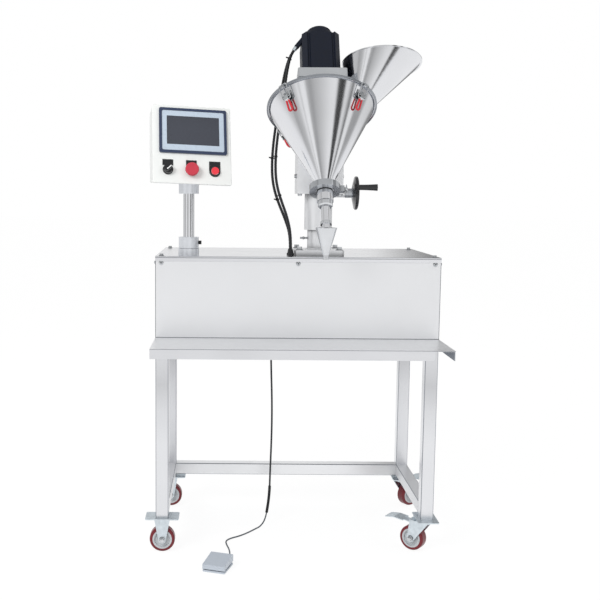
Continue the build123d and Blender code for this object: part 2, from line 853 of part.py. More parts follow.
# Lift column: a base plate with a round tube, a nut in its top, and a sleeve that slides on it
column_plane = Plane(origin=(head_x, column_y, lid_z), x_dir=(1, 0, 0), z_dir=(0, 0, 1))
column_bore = column_radius - column_wall
screw_bore = lift_screw_radius + running_fit
with BuildPart() as column_base:
    with BuildSketch(column_plane):
        RectangleRounded(column_plate, column_plate, column_plate_corner)
    extrude(amount=column_plate_thick)
    with BuildSketch(column_plane.offset(column_plate_thick)):
        Circle(column_radius)
    extrude(amount=column_length)
    with BuildSketch(column_plane.offset(column_plate_thick)):
        Circle(column_radius + column_foot)
    extrude(amount=column_foot, taper=45)
    with BuildSketch(column_plane.offset(column_plate_thick)):
        Circle(column_bore)
    extrude(amount=column_length - nut_height, mode=Mode.SUBTRACT)
    with BuildSketch(column_plane.offset(column_plate_thick)):
        Circle(screw_bore)
    extrude(amount=column_length, mode=Mode.SUBTRACT)
column_base.part.label = "column_base"
export_step(column_base.part, "parts/column_base.step")

with BuildPart() as column_bolts:
    with BuildSketch(column_plane.offset(column_plate_thick)):
        with GridLocations(column_bolt_pitch, column_bolt_pitch, 2, 2):
            Circle(column_washer)
    extrude(amount=sheet)
    with BuildSketch(column_plane.offset(column_plate_thick + sheet)):
        with GridLocations(column_bolt_pitch, column_bolt_pitch, 2, 2):
            RegularPolygon(column_bolt_flats / 2, 6, major_radius=False)
    extrude(amount=column_bolt_head)
column_bolts.part.label = "column_bolts"
export_step(column_bolts.part, "parts/column_bolts.step")

drive_z = lid_z + handwheel_height
drive_middle = (head_x, column_y, drive_z)
drive_plane = Plane(origin=drive_middle, x_dir=(0, -1, 0), z_dir=(1, 0, 0))
gear_section = Plane(origin=drive_middle, x_dir=(1, 0, 0), z_dir=(0, -1, 0))
gear_face = gear_reach - gear_gap_mesh
gear_nose = gear_inset - gear_gap_mesh
screw_axis = Axis(drive_middle, (0, 0, 1))
drive_axis = Axis(drive_middle, (1, 0, 0))
with BuildPart() as lift_screw:
    with BuildSketch(gear_section):
        with BuildLine():
            Polyline(
                (0, -gear_inset),
                (gear_nose, -gear_inset),
                (gear_face, -gear_reach),
                (lift_screw_radius, -gear_reach),
                (lift_screw_radius, -gear_reach - lift_screw_length),
                (0, -gear_reach - lift_screw_length),
                close=True,
            )
        make_face()
    revolve(axis=screw_axis)
lift_screw.part.label = "lift_screw"
export_step(lift_screw.part, "parts/lift_screw.step")

sleeve_bore = column_radius + sleeve_gap
sleeve_start = lid_z + sleeve_bottom
sleeve_top = drive_z + gear_reach + sleeve_gap + sleeve_cap
with BuildPart() as lift_sleeve:
    with BuildSketch(column_plane.offset(sleeve_bottom)):
        Circle(sleeve_radius)
    extrude(amount=sleeve_top - sleeve_start)
    with BuildSketch(drive_plane):
        Circle(boss_radius)
    extrude(amount=boss_reach)
    with BuildSketch(column_plane.offset(sleeve_bottom)):
        Circle(sleeve_bore)
    extrude(amount=sleeve_top - sleeve_start - sleeve_cap, mode=Mode.SUBTRACT)
    with BuildSketch(drive_plane):
        Circle(shaft_radius + running_fit)
    extrude(amount=boss_reach, mode=Mode.SUBTRACT)
lift_sleeve.part.label = "lift_sleeve"
export_step(lift_sleeve.part, "parts/lift_sleeve.step")

# Handwheel: its shaft carries the second bevel gear; the web is dished towards the rim
rim_path = handwheel_radius - rim_radius
hub_start = boss_reach + rest_gap
wheel_face = handwheel_reach - rim_radius
grip_spot = (grip_offset * cos(radians(grip_angle)), grip_offset * sin(radians(grip_angle)))
with BuildPart() as handwheel:
    with BuildSketch(gear_section):
        with BuildLine():
            Polyline(
                (gear_inset, 0),
                (gear_inset, gear_nose),
                (gear_reach, gear_face),
                (gear_reach, shaft_radius),
                (hub_start, shaft_radius),
                (hub_start, wheel_hub_radius),
                (hub_start + hub_length - web_thick, wheel_hub_radius),
                (wheel_face, rim_path),
                (wheel_face + web_thick, rim_path),
                (hub_start + hub_length, wheel_hub_radius),
                (hub_start + hub_length, 0),
                close=True,
            )
        make_face()
    revolve(axis=drive_axis)
    with BuildSketch(gear_section):
        with Locations((handwheel_reach, rim_path)):
            Circle(rim_radius)
    revolve(axis=drive_axis)
    with BuildSketch(drive_plane.offset(handwheel_reach - 2 * rim_radius)):
        with Locations(grip_spot):
            Circle(grip_radius)
    extrude(amount=2 * rim_radius)
    with BuildSketch(drive_plane.offset(handwheel_reach)):
        with Locations(grip_spot):
            Circle(grip_pin_radius)
    extrude(amount=rim_radius + grip_gap + grip_length / 2)
handwheel.part.label = "handwheel"
export_step(handwheel.part, "parts/handwheel.step")

grip_plane = Plane(origin=drive_plane.from_local_coords((*grip_spot, 0)), x_dir=(0, -1, 0), z_dir=(1, 0, 0))
grip_section = Plane(origin=grip_plane.origin, x_dir=(1, 0, 0), z_dir=(0, -1, 0))
grip_start = handwheel_reach + rim_radius + grip_gap
grip_middle = grip_start + grip_length / 2
grip_end = grip_start + grip_length
grip_bore = grip_pin_radius + running_fit
with BuildPart() as handwheel_grip:
    with BuildSketch(grip_section):
        with BuildLine():
            Line((grip_start, grip_bore), (grip_start, grip_neck))
            ThreePointArc((grip_start, grip_neck), (grip_middle, grip_waist), (grip_end, grip_radius))
            Polyline(
                (grip_end, grip_radius),
                (grip_end, 0),
                (grip_middle + grip_gap, 0),
                (grip_middle + grip_gap, grip_bore),
                (grip_start, grip_bore),
            )
        make_face()
    revolve(axis=Axis(grip_plane.origin, (1, 0, 0)))
handwheel_grip.part.label = "handwheel_grip"
export_step(handwheel_grip.part, "parts/handwheel_grip.step")

# Leaning head frame: z runs up the hopper axis, zero at the underside of the lid
lean = radians(head_lean)
head = Plane(origin=(head_x, head_y, head_z), x_dir=(1, 0, 0), z_dir=(0, sin(lean), cos(lean)))
head_section = Plane(origin=head.origin, x_dir=head.x_dir, z_dir=-head.y_dir)
head_axis = Axis(head.origin, head.z_dir)
cone_slope = (hopper_radius - outlet_radius) / hopper_length
cone_angle = Vector(1, 0, 0).get_angle(Vector(1, cone_slope, 0))
cone_wall = hopper_sheet / cos(radians(cone_angle))
cone_end = -hopper_flange - hopper_length
ferrule_top = cone_end - outlet_length
ferrule_mid = ferrule_top - ferrule_thick
ferrule_end = ferrule_mid - ferrule_thick
body_end = ferrule_end - nozzle_body_length
nozzle_end = body_end - nozzle_length
rim_inner = ring_radius - ring_wall
outlet_bore = outlet_radius - hopper_sheet


def cone_radius(drop):
    """Outer radius of the hopper cone at a distance below the underside of the lid."""
    return hopper_radius - (drop - hopper_flange) * cone_slope


with BuildPart() as hopper:
    with BuildSketch(head_section):
        with BuildLine():
            Polyline(
                (rim_inner, 0),
                (rim_inner, -hopper_flange),
                (hopper_radius, -hopper_flange),
                (outlet_radius, cone_end),
                (outlet_radius, ferrule_top),
                (ferrule_radius, ferrule_top),
                (ferrule_radius, ferrule_mid),
                (outlet_bore, ferrule_mid),
                (outlet_bore, cone_end),
                (hopper_radius - cone_wall, -hopper_flange),
                (hopper_radius - cone_wall, 0),
                close=True,
            )
        make_face()
    revolve(axis=head_axis)
hopper.part.label = "hopper"
export_step(hopper.part, "parts/hopper.step")

shaft_bore = auger_shaft + running_fit
with BuildPart() as hopper_lid:
    with BuildSketch(head):
        Circle(rim_inner)
        Circle(auger_shaft + rest_gap, mode=Mode.SUBTRACT)
        with Locations((neck_u, 0)):
            Circle(feed_neck_radius - feed_sheet, mode=Mode.SUBTRACT)
    extrude(amount=lid_sheet)
    with BuildSketch(head.offset(lid_sheet - ring_height)):
        Circle(ring_radius)
        Circle(rim_inner, mode=Mode.SUBTRACT)
    extrude(amount=ring_height)
    fillet(hopper_lid.edges().filter_by(GeomType.CIRCLE).sort_by(SortBy.LENGTH)[-2:], ring_round)
hopper_lid.part.label = "hopper_lid"
export_step(hopper_lid.part, "parts/hopper_lid.step")

# Oblique feed funnel: a neck on the lid lofted to a mouth that leans less than the head
mouth_lean = radians(feed_lean)
neck_plane = Plane(
    origin=head.from_local_coords((neck_u, 0, lid_sheet)), x_dir=(1, 0, 0), z_dir=head.z_dir
)
mouth_plane = Plane(
    origin=head.from_local_coords((feed_mouth_u, 0, lid_sheet + feed_mouth_rise)),
    x_dir=(1, 0, 0),
    z_dir=(0, sin(mouth_lean), cos(mouth_lean)),
)
with BuildPart() as feed_funnel:
    with BuildSketch(neck_plane.offset(feed_neck_height)):
        Circle(feed_neck_radius)
    with BuildSketch(mouth_plane):
        Circle(feed_mouth_radius)
    loft()
    with BuildSketch(neck_plane):
        Circle(feed_neck_radius)
    extrude(amount=feed_neck_height)
    with BuildSketch(mouth_plane.offset(-feed_rim)):
        Circle(feed_mouth_radius + feed_sheet)
    extrude(amount=feed_rim)
    with BuildSketch(neck_plane.offset(feed_neck_height)):
        Circle(feed_neck_radius - feed_sheet)
    with BuildSketch(mouth_plane):
        Circle(feed_mouth_radius - feed_sheet)
    loft(mode=Mode.SUBTRACT)
    with BuildSketch(neck_plane):
        Circle(feed_neck_radius - feed_sheet)
    extrude(amount=feed_neck_height, mode=Mode.SUBTRACT)
feed_funnel.part.label = "feed_funnel"
export_step(feed_funnel.part, "parts/feed_funnel.step")

# Motor on its mount, with the auger shaft coming up through the block
foot_top = lid_sheet + mount_foot_thick
neck_top = foot_top + mount_neck_height
block_top = neck_top + mount_block_thick
with BuildPart() as motor_mount:
    with BuildSketch(head.offset(lid_sheet)):
        RectangleRounded(mount_foot, mount_foot, plate_corner)
    extrude(amount=mount_foot_thick)
    with BuildSketch(head.offset(foot_top)):
        Circle(mount_neck_radius)
    extrude(amount=mount_neck_height)
    with BuildSketch(head.offset(neck_top)):
        RectangleRounded(mount_block, mount_block, plate_corner)
    extrude(amount=mount_block_thick)
    with BuildSketch(head.offset(lid_sheet)):
        Circle(mount_neck_radius / 2)
    extrude(amount=mount_foot_thick + mount_neck_height, mode=Mode.SUBTRACT)
    with BuildSketch(head.offset(lid_sheet)):
        Circle(shaft_bore)
    extrude(amount=block_top - lid_sheet, mode=Mode.SUBTRACT)
motor_mount.part.label = "motor_mount"
export_step(motor_mount.part, "parts/motor_mount.step")

motor_top = block_top + motor_length
connector_s = motor_top - connector_drop
motor_half = motor_width / 2
groove_at = motor_half - motor_groove_inset
groove_spots = [(x, y) for x in (-groove_at, groove_at) for y in (-motor_half, motor_half)]
groove_spots += [(y, x) for x, y in groove_spots]
connector_way = Vector(-cos(radians(connector_dip)), 0, -sin(radians(connector_dip)))
connector_plane = Plane(
    origin=head.from_local_coords((connector_inset - motor_half, -connector_ahead, connector_s)),
    x_dir=(0, 1, 0),
    z_dir=connector_way,
)
with BuildPart() as motor:
    with BuildSketch(head.offset(block_top)):
        Rectangle(motor_width, motor_width)
        chamfer(vertices(), motor_corner)
        with Locations(*groove_spots):
            Circle(motor_groove, mode=Mode.SUBTRACT)
    extrude(amount=motor_length)
    with BuildSketch(head.offset(motor_top)):
        Circle(motor_cap_radius)
    extrude(amount=motor_cap_length)
    fillet(motor.faces().sort_by(head_axis)[-1].edges(), motor_cap_round)
    with BuildSketch(connector_plane):
        RectangleRounded(connector_width, connector_thick, motor_groove)
    extrude(amount=connector_reach)
motor.part.label = "motor"
export_step(motor.part, "parts/motor.step")

# Auger: a shaft down the hopper axis with a helical flight in the nozzle and a scraper frame in the cone
auger_top = block_top - rest_gap
flight_top = ferrule_mid - rest_gap
flight_end = nozzle_end + auger_tip
flight_length = flight_top - flight_end - 2 * auger_shaft
flight_mid = (auger_core + auger_radius) / 2 - auger_root
flight_foot = head.from_local_coords((0, 0, flight_end + auger_tip))
frame_top = -blade_top
frame_end = -blade_bottom
with BuildPart() as auger_screw:
    with BuildSketch(head_section):
        with BuildLine():
            Polyline(
                (0, auger_top),
                (auger_shaft, auger_top),
                (auger_shaft, flight_top),
                (auger_core, flight_top - auger_shaft),
                (auger_core, flight_end),
                (0, flight_end - auger_core),
                close=True,
            )
        make_face()
    revolve(axis=head_axis)
    with BuildSketch(head_section):
        with BuildLine():
            Polyline(
                (0, frame_top),
                (cone_radius(blade_top) - blade_gap, frame_top),
                (cone_radius(blade_bottom) - blade_gap, frame_end),
                (0, frame_end),
                (0, frame_end + blade_width),
                (cone_radius(blade_bottom) - blade_gap - blade_width / 2, frame_end + blade_width),
                (cone_radius(blade_top) - blade_gap - 2 * blade_width, frame_top - blade_width),
                (0, frame_top - blade_width),
                close=True,
            )
        make_face()
        mirror(about=Plane.YZ)
    extrude(amount=blade_thick / 2, both=True)
    with BuildLine() as flight_path:
        Helix(auger_pitch, flight_length, flight_mid, center=flight_foot, direction=head.z_dir)
    flight_start = flight_path.line @ 0
    flight_out = flight_start - flight_foot
    with BuildSketch(Plane(origin=flight_start, x_dir=flight_out, z_dir=flight_path.line % 0)):
        Rectangle(auger_radius - auger_core + 2 * auger_root, auger_flight)
    sweep(path=flight_path.line, is_frenet=True)
auger_screw.part.label = "auger_screw"
export_step(auger_screw.part, "parts/auger_screw.step")

# Outlet: a clamp ring over two ferrules, the nozzle with its inlet cone, its nut and the guide funnel
clamp_top = ferrule_top + clamp_lip
clamp_end = ferrule_end - clamp_lip
clamp_groove = ferrule_radius + rest_gap
with BuildPart() as outlet_clamp:
    with BuildSketch(head_section):
        with BuildLine():
            Polyline(
                (outlet_radius + clamp_lip, clamp_top),
                (clamp_radius, clamp_top),
                (clamp_radius, clamp_end),
                (nozzle_body_radius + clamp_lip, clamp_end),
                (nozzle_body_radius + clamp_lip, ferrule_end),
                (clamp_groove, ferrule_end),
                (clamp_groove, ferrule_top),
                (outlet_radius + clamp_lip, ferrule_top),
                close=True,
            )
        make_face()
    revolve(axis=head_axis)
    with BuildSketch(head.offset(clamp_end)):
        with Locations((clamp_radius, 0)):
            Rectangle(2 * clamp_ear, clamp_ear)
        Circle(clamp_radius - clamp_lip, mode=Mode.SUBTRACT)
    extrude(amount=clamp_top - clamp_end)
outlet_clamp.part.label = "outlet_clamp"
export_step(outlet_clamp.part, "parts/outlet_clamp.step")

with BuildPart() as nozzle_tube:
    with BuildSketch(head_section):
        with BuildLine():
            Polyline(
                (outlet_bore, ferrule_mid),
                (ferrule_radius, ferrule_mid),
                (ferrule_radius, ferrule_end),
                (nozzle_body_radius, ferrule_end),
                (nozzle_body_radius, body_end),
                (nozzle_radius, body_end),
                (nozzle_radius, nozzle_end),
                (nozzle_bore, nozzle_end),
                (nozzle_bore, body_end),
                close=True,
            )
        make_face()
    revolve(axis=head_axis)
nozzle_tube.part.label = "nozzle_tube"
export_step(nozzle_tube.part, "parts/nozzle_tube.step")

with BuildPart() as nozzle_nut:
    with BuildSketch(head.offset(body_end)):
        Circle(nut_radius)
        Circle(nozzle_radius, mode=Mode.SUBTRACT)
    extrude(amount=-nozzle_nut_height)
    nut_end = nozzle_nut.faces().sort_by(head_axis)[0]
    chamfer(nut_end.edges().sort_by(SortBy.LENGTH)[-1], nut_chamfer)
nozzle_nut.part.label = "nozzle_nut"
export_step(nozzle_nut.part, "parts/nozzle_nut.step")

tip = head.from_local_coords((0, 0, nozzle_end))
guide_top = tip.Z + guide_dip
guide_plane = Plane(origin=(tip.X, tip.Y, guide_top), x_dir=(1, 0, 0), z_dir=(0, 0, 1))
guide_section = Plane(origin=guide_plane.origin, x_dir=(1, 0, 0), z_dir=(0, -1, 0))
guide_ring_s = nozzle_end + guide_ring_above
strap_y = tip.Y + guide_top_radius - guide_strap_sheet
with BuildPart() as guide_funnel:
    with BuildSketch(guide_section):
        with BuildLine():
            Polyline(
                (guide_top_radius, 0),
                (guide_tip_radius, guide_spout - guide_height),
                (guide_tip_radius, -guide_height),
                (guide_tip_radius - guide_sheet, -guide_height),
                (guide_tip_radius - guide_sheet, guide_spout - guide_height),
                (guide_top_radius - guide_sheet, 0),
                close=True,
            )
        make_face()
    revolve(axis=Axis(guide_plane.origin, (0, 0, 1)))
    with BuildSketch(head.offset(guide_ring_s)):
        Circle(nozzle_radius + guide_ring_wall)
        with Locations((0, nozzle_radius)):
            Rectangle(guide_strap, guide_lug, align=(Align.CENTER, Align.MIN))
        Circle(nozzle_radius, mode=Mode.SUBTRACT)
    extrude(amount=guide_ring_height)
    with BuildSketch(Plane.YZ.offset(tip.X - guide_strap / 2)):
        with BuildLine():
            Polyline(
                (tip.Y + guide_top_radius, guide_top - guide_dip),
                (tip.Y + guide_top_radius, tip.Z + guide_ring_above + guide_dip),
                (strap_y, tip.Z + guide_ring_above + guide_dip),
                (strap_y, guide_top - guide_dip),
                close=True,
            )
        make_face()
    extrude(amount=guide_strap)
    with BuildSketch(guide_section):
        with BuildLine():
            Polyline(
                (0, 0),
                (guide_top_radius - guide_sheet, 0),
                (guide_tip_radius - guide_sheet, guide_spout - guide_height),
                (0, guide_spout - guide_height),
                close=True,
            )
        make_face()
    revolve(axis=Axis(guide_plane.origin, (0, 0, 1)), mode=Mode.SUBTRACT)
guide_funnel.part.label = "guide_funnel"
export_step(guide_funnel.part, "parts/guide_funnel.step")

# Bracket: a folded box on the sleeve whose upper edges are cut to the hopper cone
bracket_z = drive_z - bracket_drop
bracket_y = column_y - bracket_front
bracket_plane = Plane(origin=(head_x, bracket_y, bracket_z), x_dir=(1, 0, 0), z_dir=(0, 0, 1))
with BuildPart() as head_bracket:
    with BuildSketch(bracket_plane):
        Rectangle(bracket_width, bracket_depth, align=(Align.CENTER, Align.MIN))
        with Locations((0, bracket_sheet)):
            Rectangle(
                bracket_width - 2 * bracket_sheet,
                bracket_depth - 2 * bracket_sheet,
                align=(Align.CENTER, Align.MIN),
                mode=Mode.SUBTRACT,
            )
    extrude(amount=bracket_height)
    with BuildSketch(bracket_plane):
        Rectangle(bracket_width, bracket_depth, align=(Align.CENTER, Align.MIN))
        with Locations((0, bracket_front)):
            Circle(sleeve_radius, mode=Mode.SUBTRACT)
    extrude(amount=bracket_sheet)
    with BuildSketch(drive_plane):
        Circle(boss_radius)
    extrude(amount=boss_reach, mode=Mode.SUBTRACT)
    with BuildSketch(head_section):
        with BuildLine():
            Polyline(
                (0, 0),
                (ring_radius, 0),
                (hopper_radius, -hopper_flange),
                (outlet_radius, cone_end),
                (0, cone_end),
                close=True,
            )
        make_face()
    revolve(axis=head_axis, mode=Mode.SUBTRACT)
head_bracket.part.label = "head_bracket"
export_step(head_bracket.part, "parts/head_bracket.step")

# Draw latch, drawn once on a flat plane: x across, y up the cone, z outwards
lever_side = lever_width / 2
ear_inner = lever_side + latch_ear_gap
ear_outer = ear_inner + latch_ear_sheet
ring_middle = lid_sheet - ring_height / 2
keeper_top = (latch_drop + ring_middle) / cos(radians(cone_angle)) + keeper_height / 2
bail_top = keeper_top + keeper_gap + bail_wire
with BuildPart() as latch_base:
    with BuildSketch(Plane.XY):
        with Locations((0, latch_pivot_up)):
            Rectangle(latch_plate_width, latch_plate_length)
    extrude(amount=latch_plate_sheet)
    for ear_x in (-ear_outer, ear_inner):
        with BuildSketch(Plane.YZ.offset(ear_x)):
            with Locations((latch_pivot_up, 0)):
                Rectangle(2 * latch_ear_radius, latch_pivot_out, align=(Align.CENTER, Align.MIN))
            with Locations((latch_pivot_up, latch_pivot_out)):
                Circle(latch_ear_radius)
        extrude(amount=latch_ear_sheet)
    with BuildSketch(Plane.YZ.offset(-ear_outer - latch_pin_head)):
        with Locations((latch_pivot_up, latch_pivot_out)):
            Circle(latch_pin_radius)
    extrude(amount=2 * ear_outer + 2 * latch_pin_head)

with BuildPart() as latch_keeper:
    with BuildSketch(Plane.YZ.offset(-keeper_width / 2)):
        with Locations((keeper_top, 0)):
            Rectangle(keeper_height, keeper_out, align=(Align.MAX, Align.MIN))
    extrude(amount=keeper_width)

with BuildPart() as latch_lever:
    with BuildSketch(Plane.YZ.offset(-lever_side)):
        with BuildLine():
            Polyline(
                (latch_pivot_up + lever_nose, latch_pivot_out - lever_nose),
                (latch_pivot_up + lever_nose, latch_pivot_out + lever_nose),
                (bail_pin_up, bail_pin_out + lever_nose),
                (latch_pivot_up - lever_tail, bail_pin_out + bail_wire),
                (latch_pivot_up - lever_tail, bail_pin_out - bail_wire),
                (bail_pin_up, bail_pin_out - lever_rise),
                close=True,
            )
        make_face()
        with Locations((latch_pivot_up, latch_pivot_out)):
            Circle(latch_pin_radius + running_fit, mode=Mode.SUBTRACT)
        with Locations((bail_pin_up, bail_pin_out)):
            Circle(bail_wire + running_fit, mode=Mode.SUBTRACT)
    extrude(amount=lever_width)
    handle_x = handle_width / 2 - handle_wire
    handle_start = latch_pivot_up - lever_tail + handle_wire
    with BuildLine(Plane.XY.offset(bail_pin_out)) as handle_path:
        FilletPolyline(
            (-lever_side + handle_wire, handle_start),
            (-handle_x, bail_pin_up - handle_length),
            (handle_x, bail_pin_up - handle_length),
            (lever_side - handle_wire, handle_start),
            radius=handle_bend,
        )
    with BuildSketch(Plane(origin=handle_path.line @ 0, z_dir=handle_path.line % 0)):
        Circle(handle_wire)
    sweep(path=handle_path.line)

bail_x = bail_span / 2
bail_end = lever_side - bail_grip
with BuildPart() as latch_bail:
    with BuildLine(Plane.XY.offset(bail_pin_out)) as bail_path:
        FilletPolyline(
            (-bail_end, bail_pin_up),
            (-bail_x, bail_pin_up),
            (-bail_x, bail_top),
            (bail_x, bail_top),
            (bail_x, bail_pin_up),
            (bail_end, bail_pin_up),
            radius=bail_corner,
        )
    with BuildSketch(Plane(origin=bail_path.line @ 0, z_dir=bail_path.line % 0)):
        Circle(bail_wire)
    sweep(path=bail_path.line)


def latch_place(turn):
    """Where a latch sits on the cone, at an angle round the hopper axis from the right-hand side."""
    outward = head.x_dir * cos(radians(turn)) + head.y_dir * sin(radians(turn))
    normal = outward * cos(radians(cone_angle)) - head.z_dir * sin(radians(cone_angle))
    upward = outward * sin(radians(cone_angle)) + head.z_dir * cos(radians(cone_angle))
    spot = head.origin - head.z_dir * latch_drop + outward * cone_radius(latch_drop)
    return Plane(origin=spot, x_dir=upward.cross(normal), z_dir=normal).location


latch_corners = ("rear_right", "rear_left", "front_left", "front_right")
latch_places = {corner: latch_place(latch_turn + 90 * i) for i, corner in enumerate(latch_corners)}
with BuildPart() as latch_mounts:
    for place in latch_places.values():
        add(place * latch_base.part)
        add(place * latch_keeper.part)
    with BuildSketch(head.offset(-ring_height)):
        Circle(ring_radius)
    extrude(amount=ring_height + lid_sheet, mode=Mode.SUBTRACT)
latch_mounts.part.label = "latch_mounts"
export_step(latch_mounts.part, "parts/latch_mounts.step")

for corner, place in latch_places.items():
    for label, piece in ((f"{corner}_latch_lever", latch_lever), (f"{corner}_latch_bail", latch_bail)):
        placed = place * piece.part
        placed.label = label
        export_step(placed, f"parts/{label}.step")

# Foot switch: a base plate with hinge lugs and a hollow wedge treadle hinged at the rear
foot_turn = radians(foot_yaw)
foot = Plane(origin=(foot_x, foot_y, 0), x_dir=(cos(foot_turn), sin(foot_turn), 0), z_dir=(0, 0, 1))
foot_side = Plane(origin=foot.origin, x_dir=foot.y_dir, z_dir=foot.x_dir)
foot_half = foot_width / 2
foot_end = foot_length / 2
hinge_y = foot_end - foot_lug
hinge_z = foot_base_height + foot_lug
treadle_z = foot_base_height + foot_skirt
lug_width = foot_width - 2 * foot_skirt - 2 * foot_gap
with BuildPart() as foot_base:
    with BuildSketch(foot):
        RectangleRounded(foot_width, foot_length, foot_corner)
    extrude(amount=foot_base_height)
    with BuildSketch(foot_side.offset(-lug_width / 2)):
        with Locations((hinge_y, foot_base_height)):
            Rectangle(foot_lug, foot_lug, align=(Align.CENTER, Align.MIN))
        with Locations((hinge_y, hinge_z)):
            Circle(foot_lug / 2)
    extrude(amount=lug_width)
    with BuildSketch(foot_side.offset(-foot_half + foot_inset)):
        with Locations((hinge_y, hinge_z)):
            Circle(foot_hinge_radius)
    extrude(amount=foot_width - 2 * foot_inset)
foot_base.part.label = "foot_base"
export_step(foot_base.part, "parts/foot_base.step")

with BuildPart() as foot_treadle:
    with BuildSketch(foot_side.offset(-foot_half)):
        with BuildLine():
            Polyline(
                (-foot_end, treadle_z),
                (-foot_end, foot_front),
                (foot_end - foot_corner, foot_rear),
                (foot_end, foot_rear - foot_corner),
                (foot_end, hinge_z + foot_lug),
                (foot_end, treadle_z + foot_skirt),
                close=True,
            )
        make_face()
    extrude(amount=foot_width)
    with BuildSketch(foot_side.offset(-foot_half + foot_skirt)):
        with BuildLine():
            Polyline(
                (foot_skirt - foot_end, 0),
                (foot_skirt - foot_end, foot_front - foot_skirt),
                (foot_end - foot_skirt, foot_rear - foot_skirt - foot_corner),
                (foot_end - foot_skirt, hinge_z + foot_lug),
                (foot_end + foot_gap, hinge_z + foot_lug),
                (foot_end + foot_gap, 0),
                close=True,
            )
        make_face()
    extrude(amount=foot_width - 2 * foot_skirt, mode=Mode.SUBTRACT)
    with BuildSketch(foot_side.offset(-foot_half + foot_inset)):
        with Locations((hinge_y, hinge_z)):
            Circle(foot_hinge_radius + running_fit)
    extrude(amount=foot_width - 2 * foot_inset, mode=Mode.SUBTRACT)
foot_treadle.part.label = "foot_treadle"
export_step(foot_treadle.part, "parts/foot_treadle.step")

# Glands on the lid for the motor cables and a grommet in the tray for the foot switch lead
gland_spots = [(gland_x, gland_y), (gland_x, gland_y + gland_spacing)]
with BuildPart() as cable_glands:
    with BuildSketch(Plane.XY.offset(lid_z)):
        with Locations(*gland_spots):
            RegularPolygon(gland_radius, 6)
    extrude(amount=gland_hex)
    with BuildSketch(Plane.XY.offset(lid_z + gland_hex)):
        with Locations(*gland_spots):
            Circle(gland_dome)
    extrude(amount=gland_height - gland_hex, taper=gland_taper)
    with BuildSketch(Plane.XY.offset(tray_under)):
        with Locations((lead_x, lead_y)):
            Circle(lead_hole / 2)
    extrude(amount=sheet + cabinet_sheet)
    with BuildSketch(Plane.XY.offset(tray_under - lead_radius)):
        with Locations((lead_x, lead_y)):
            Circle(grommet_radius)
    extrude(amount=lead_radius)
cable_glands.part.label = "cable_glands"
export_step(cable_glands.part, "parts/cable_glands.step")


def bend_radii(points):
    """Easy arc at each corner of a route: a share of the shorter run over the tangent of half the turn."""
    runs = [b - a for a, b in zip(points, points[1:])]
    return [
        bend_share * min(a.length, b.length) / tan(radians(max(a.get_angle(b), least_turn)) / 2)
        for a, b in zip(runs, runs[1:])
    ]


gland_top = lid_z + gland_height
connector_face = connector_plane.offset(connector_reach)
power_route = [
    connector_face.from_local_coords((-connector_pitch / 2, 0, 0)),
    connector_face.from_local_coords((-connector_pitch / 2, 0, cord_straight)),
    Vector(-28, 58, 1430),
    Vector(-34, 86, 1376),
    Vector(-41, 105, 1320),
    Vector(-48, 113, 1264),
    Vector(-55, 105, 1210),
    Vector(-59, 87, 1157),
    Vector(-59, 60, 1108),
    Vector(-53, 24, 1067),
    Vector(-42, -14, 1030),
    Vector(-28, -44, 988),
    Vector(gland_x, gland_y, 938),
    Vector(gland_x, gland_y, gland_top),
]
signal_route = [
    connector_face.from_local_coords((connector_pitch / 2, 0, 0)),
    connector_face.from_local_coords((connector_pitch / 2, 0, cord_straight)),
    Vector(-33, 71, 1430),
    Vector(-42, 98, 1376),
    Vector(-51, 116, 1320),
    Vector(-58, 124, 1264),
    Vector(-65, 117, 1210),
    Vector(-69, 100, 1157),
    Vector(-69, 75, 1108),
    Vector(-63, 42, 1067),
    Vector(-51, 8, 1028),
    Vector(-34, -20, 986),
    Vector(gland_x, gland_y + gland_spacing, 938),
    Vector(gland_x, gland_y + gland_spacing, gland_top),
]
lead_route = [
    Vector(lead_x, lead_y, tray_under - lead_radius),
    Vector(lead_x, lead_y, 572),
    Vector(-61, 150, 494),
    Vector(-58, 149, 414),
    Vector(-57, 148.5, 334),
    Vector(-58, 149.5, 260),
    Vector(-60, 150, 190),
    Vector(-62, 144, 120),
]
splice_route = [lead_route[-1], Vector(-63.2, 140.4, 78), Vector(-72, 122, 38)]
pedal_route = [
    splice_route[-1],
    Vector(-76.4, 112.8, 18),
    Vector(-92, 92, 3),
    Vector(-110, 68, cord_lie),
    Vector(-134, 34, cord_lie),
    Vector(-161, 4, cord_lie),
    Vector(-188, -15, cord_lie),
    Vector(-203, -38, cord_lie),
    Vector(-200, -68, cord_lie),
    Vector(-193, -100, cord_lie),
    Vector(-190, -130, cord_lie),
    Vector(-190.5, -158, cord_lie),
    foot.from_local_coords((lead_aside, foot_end + cord_straight, cord_lie)),
    foot.from_local_coords((lead_aside, foot_end, cord_lie)),
]
cords = {
    "motor_power_cable": (power_route, motor_cable_radius),
    "motor_signal_cable": (signal_route, motor_cable_radius),
    "hanging_lead": (lead_route, lead_radius),
    "lead_splice": (splice_route, splice_radius),
    "pedal_lead": (pedal_route, pedal_lead_radius),
}
for label, (route, radius) in cords.items():
    radii = bend_radii(route)
    with BuildPart() as cord:
        with BuildLine() as cord_path:
            FilletPolyline(*route, radius=radii)
        with BuildSketch(Plane(origin=cord_path.line @ 0, z_dir=cord_path.line % 0)):
            Circle(radius)
        sweep(path=cord_path.line)
    print(label, "length", round(cord_path.wires()[0].length), "tightest bend", round(min(radii)))
    cord.part.label = label
    export_step(cord.part, f"parts/{label}.step")
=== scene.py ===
"""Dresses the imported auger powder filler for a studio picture.

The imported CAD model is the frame. This script gives every shown node a procedural finish, adds the small
hardware that the solids leave out, draws the cables as smooth splines, and sets the lights and the camera.
Lengths are in metres in the frame of the CAD model: +Z up, the front faces -Y, the origin on the floor.
"""

from __future__ import annotations

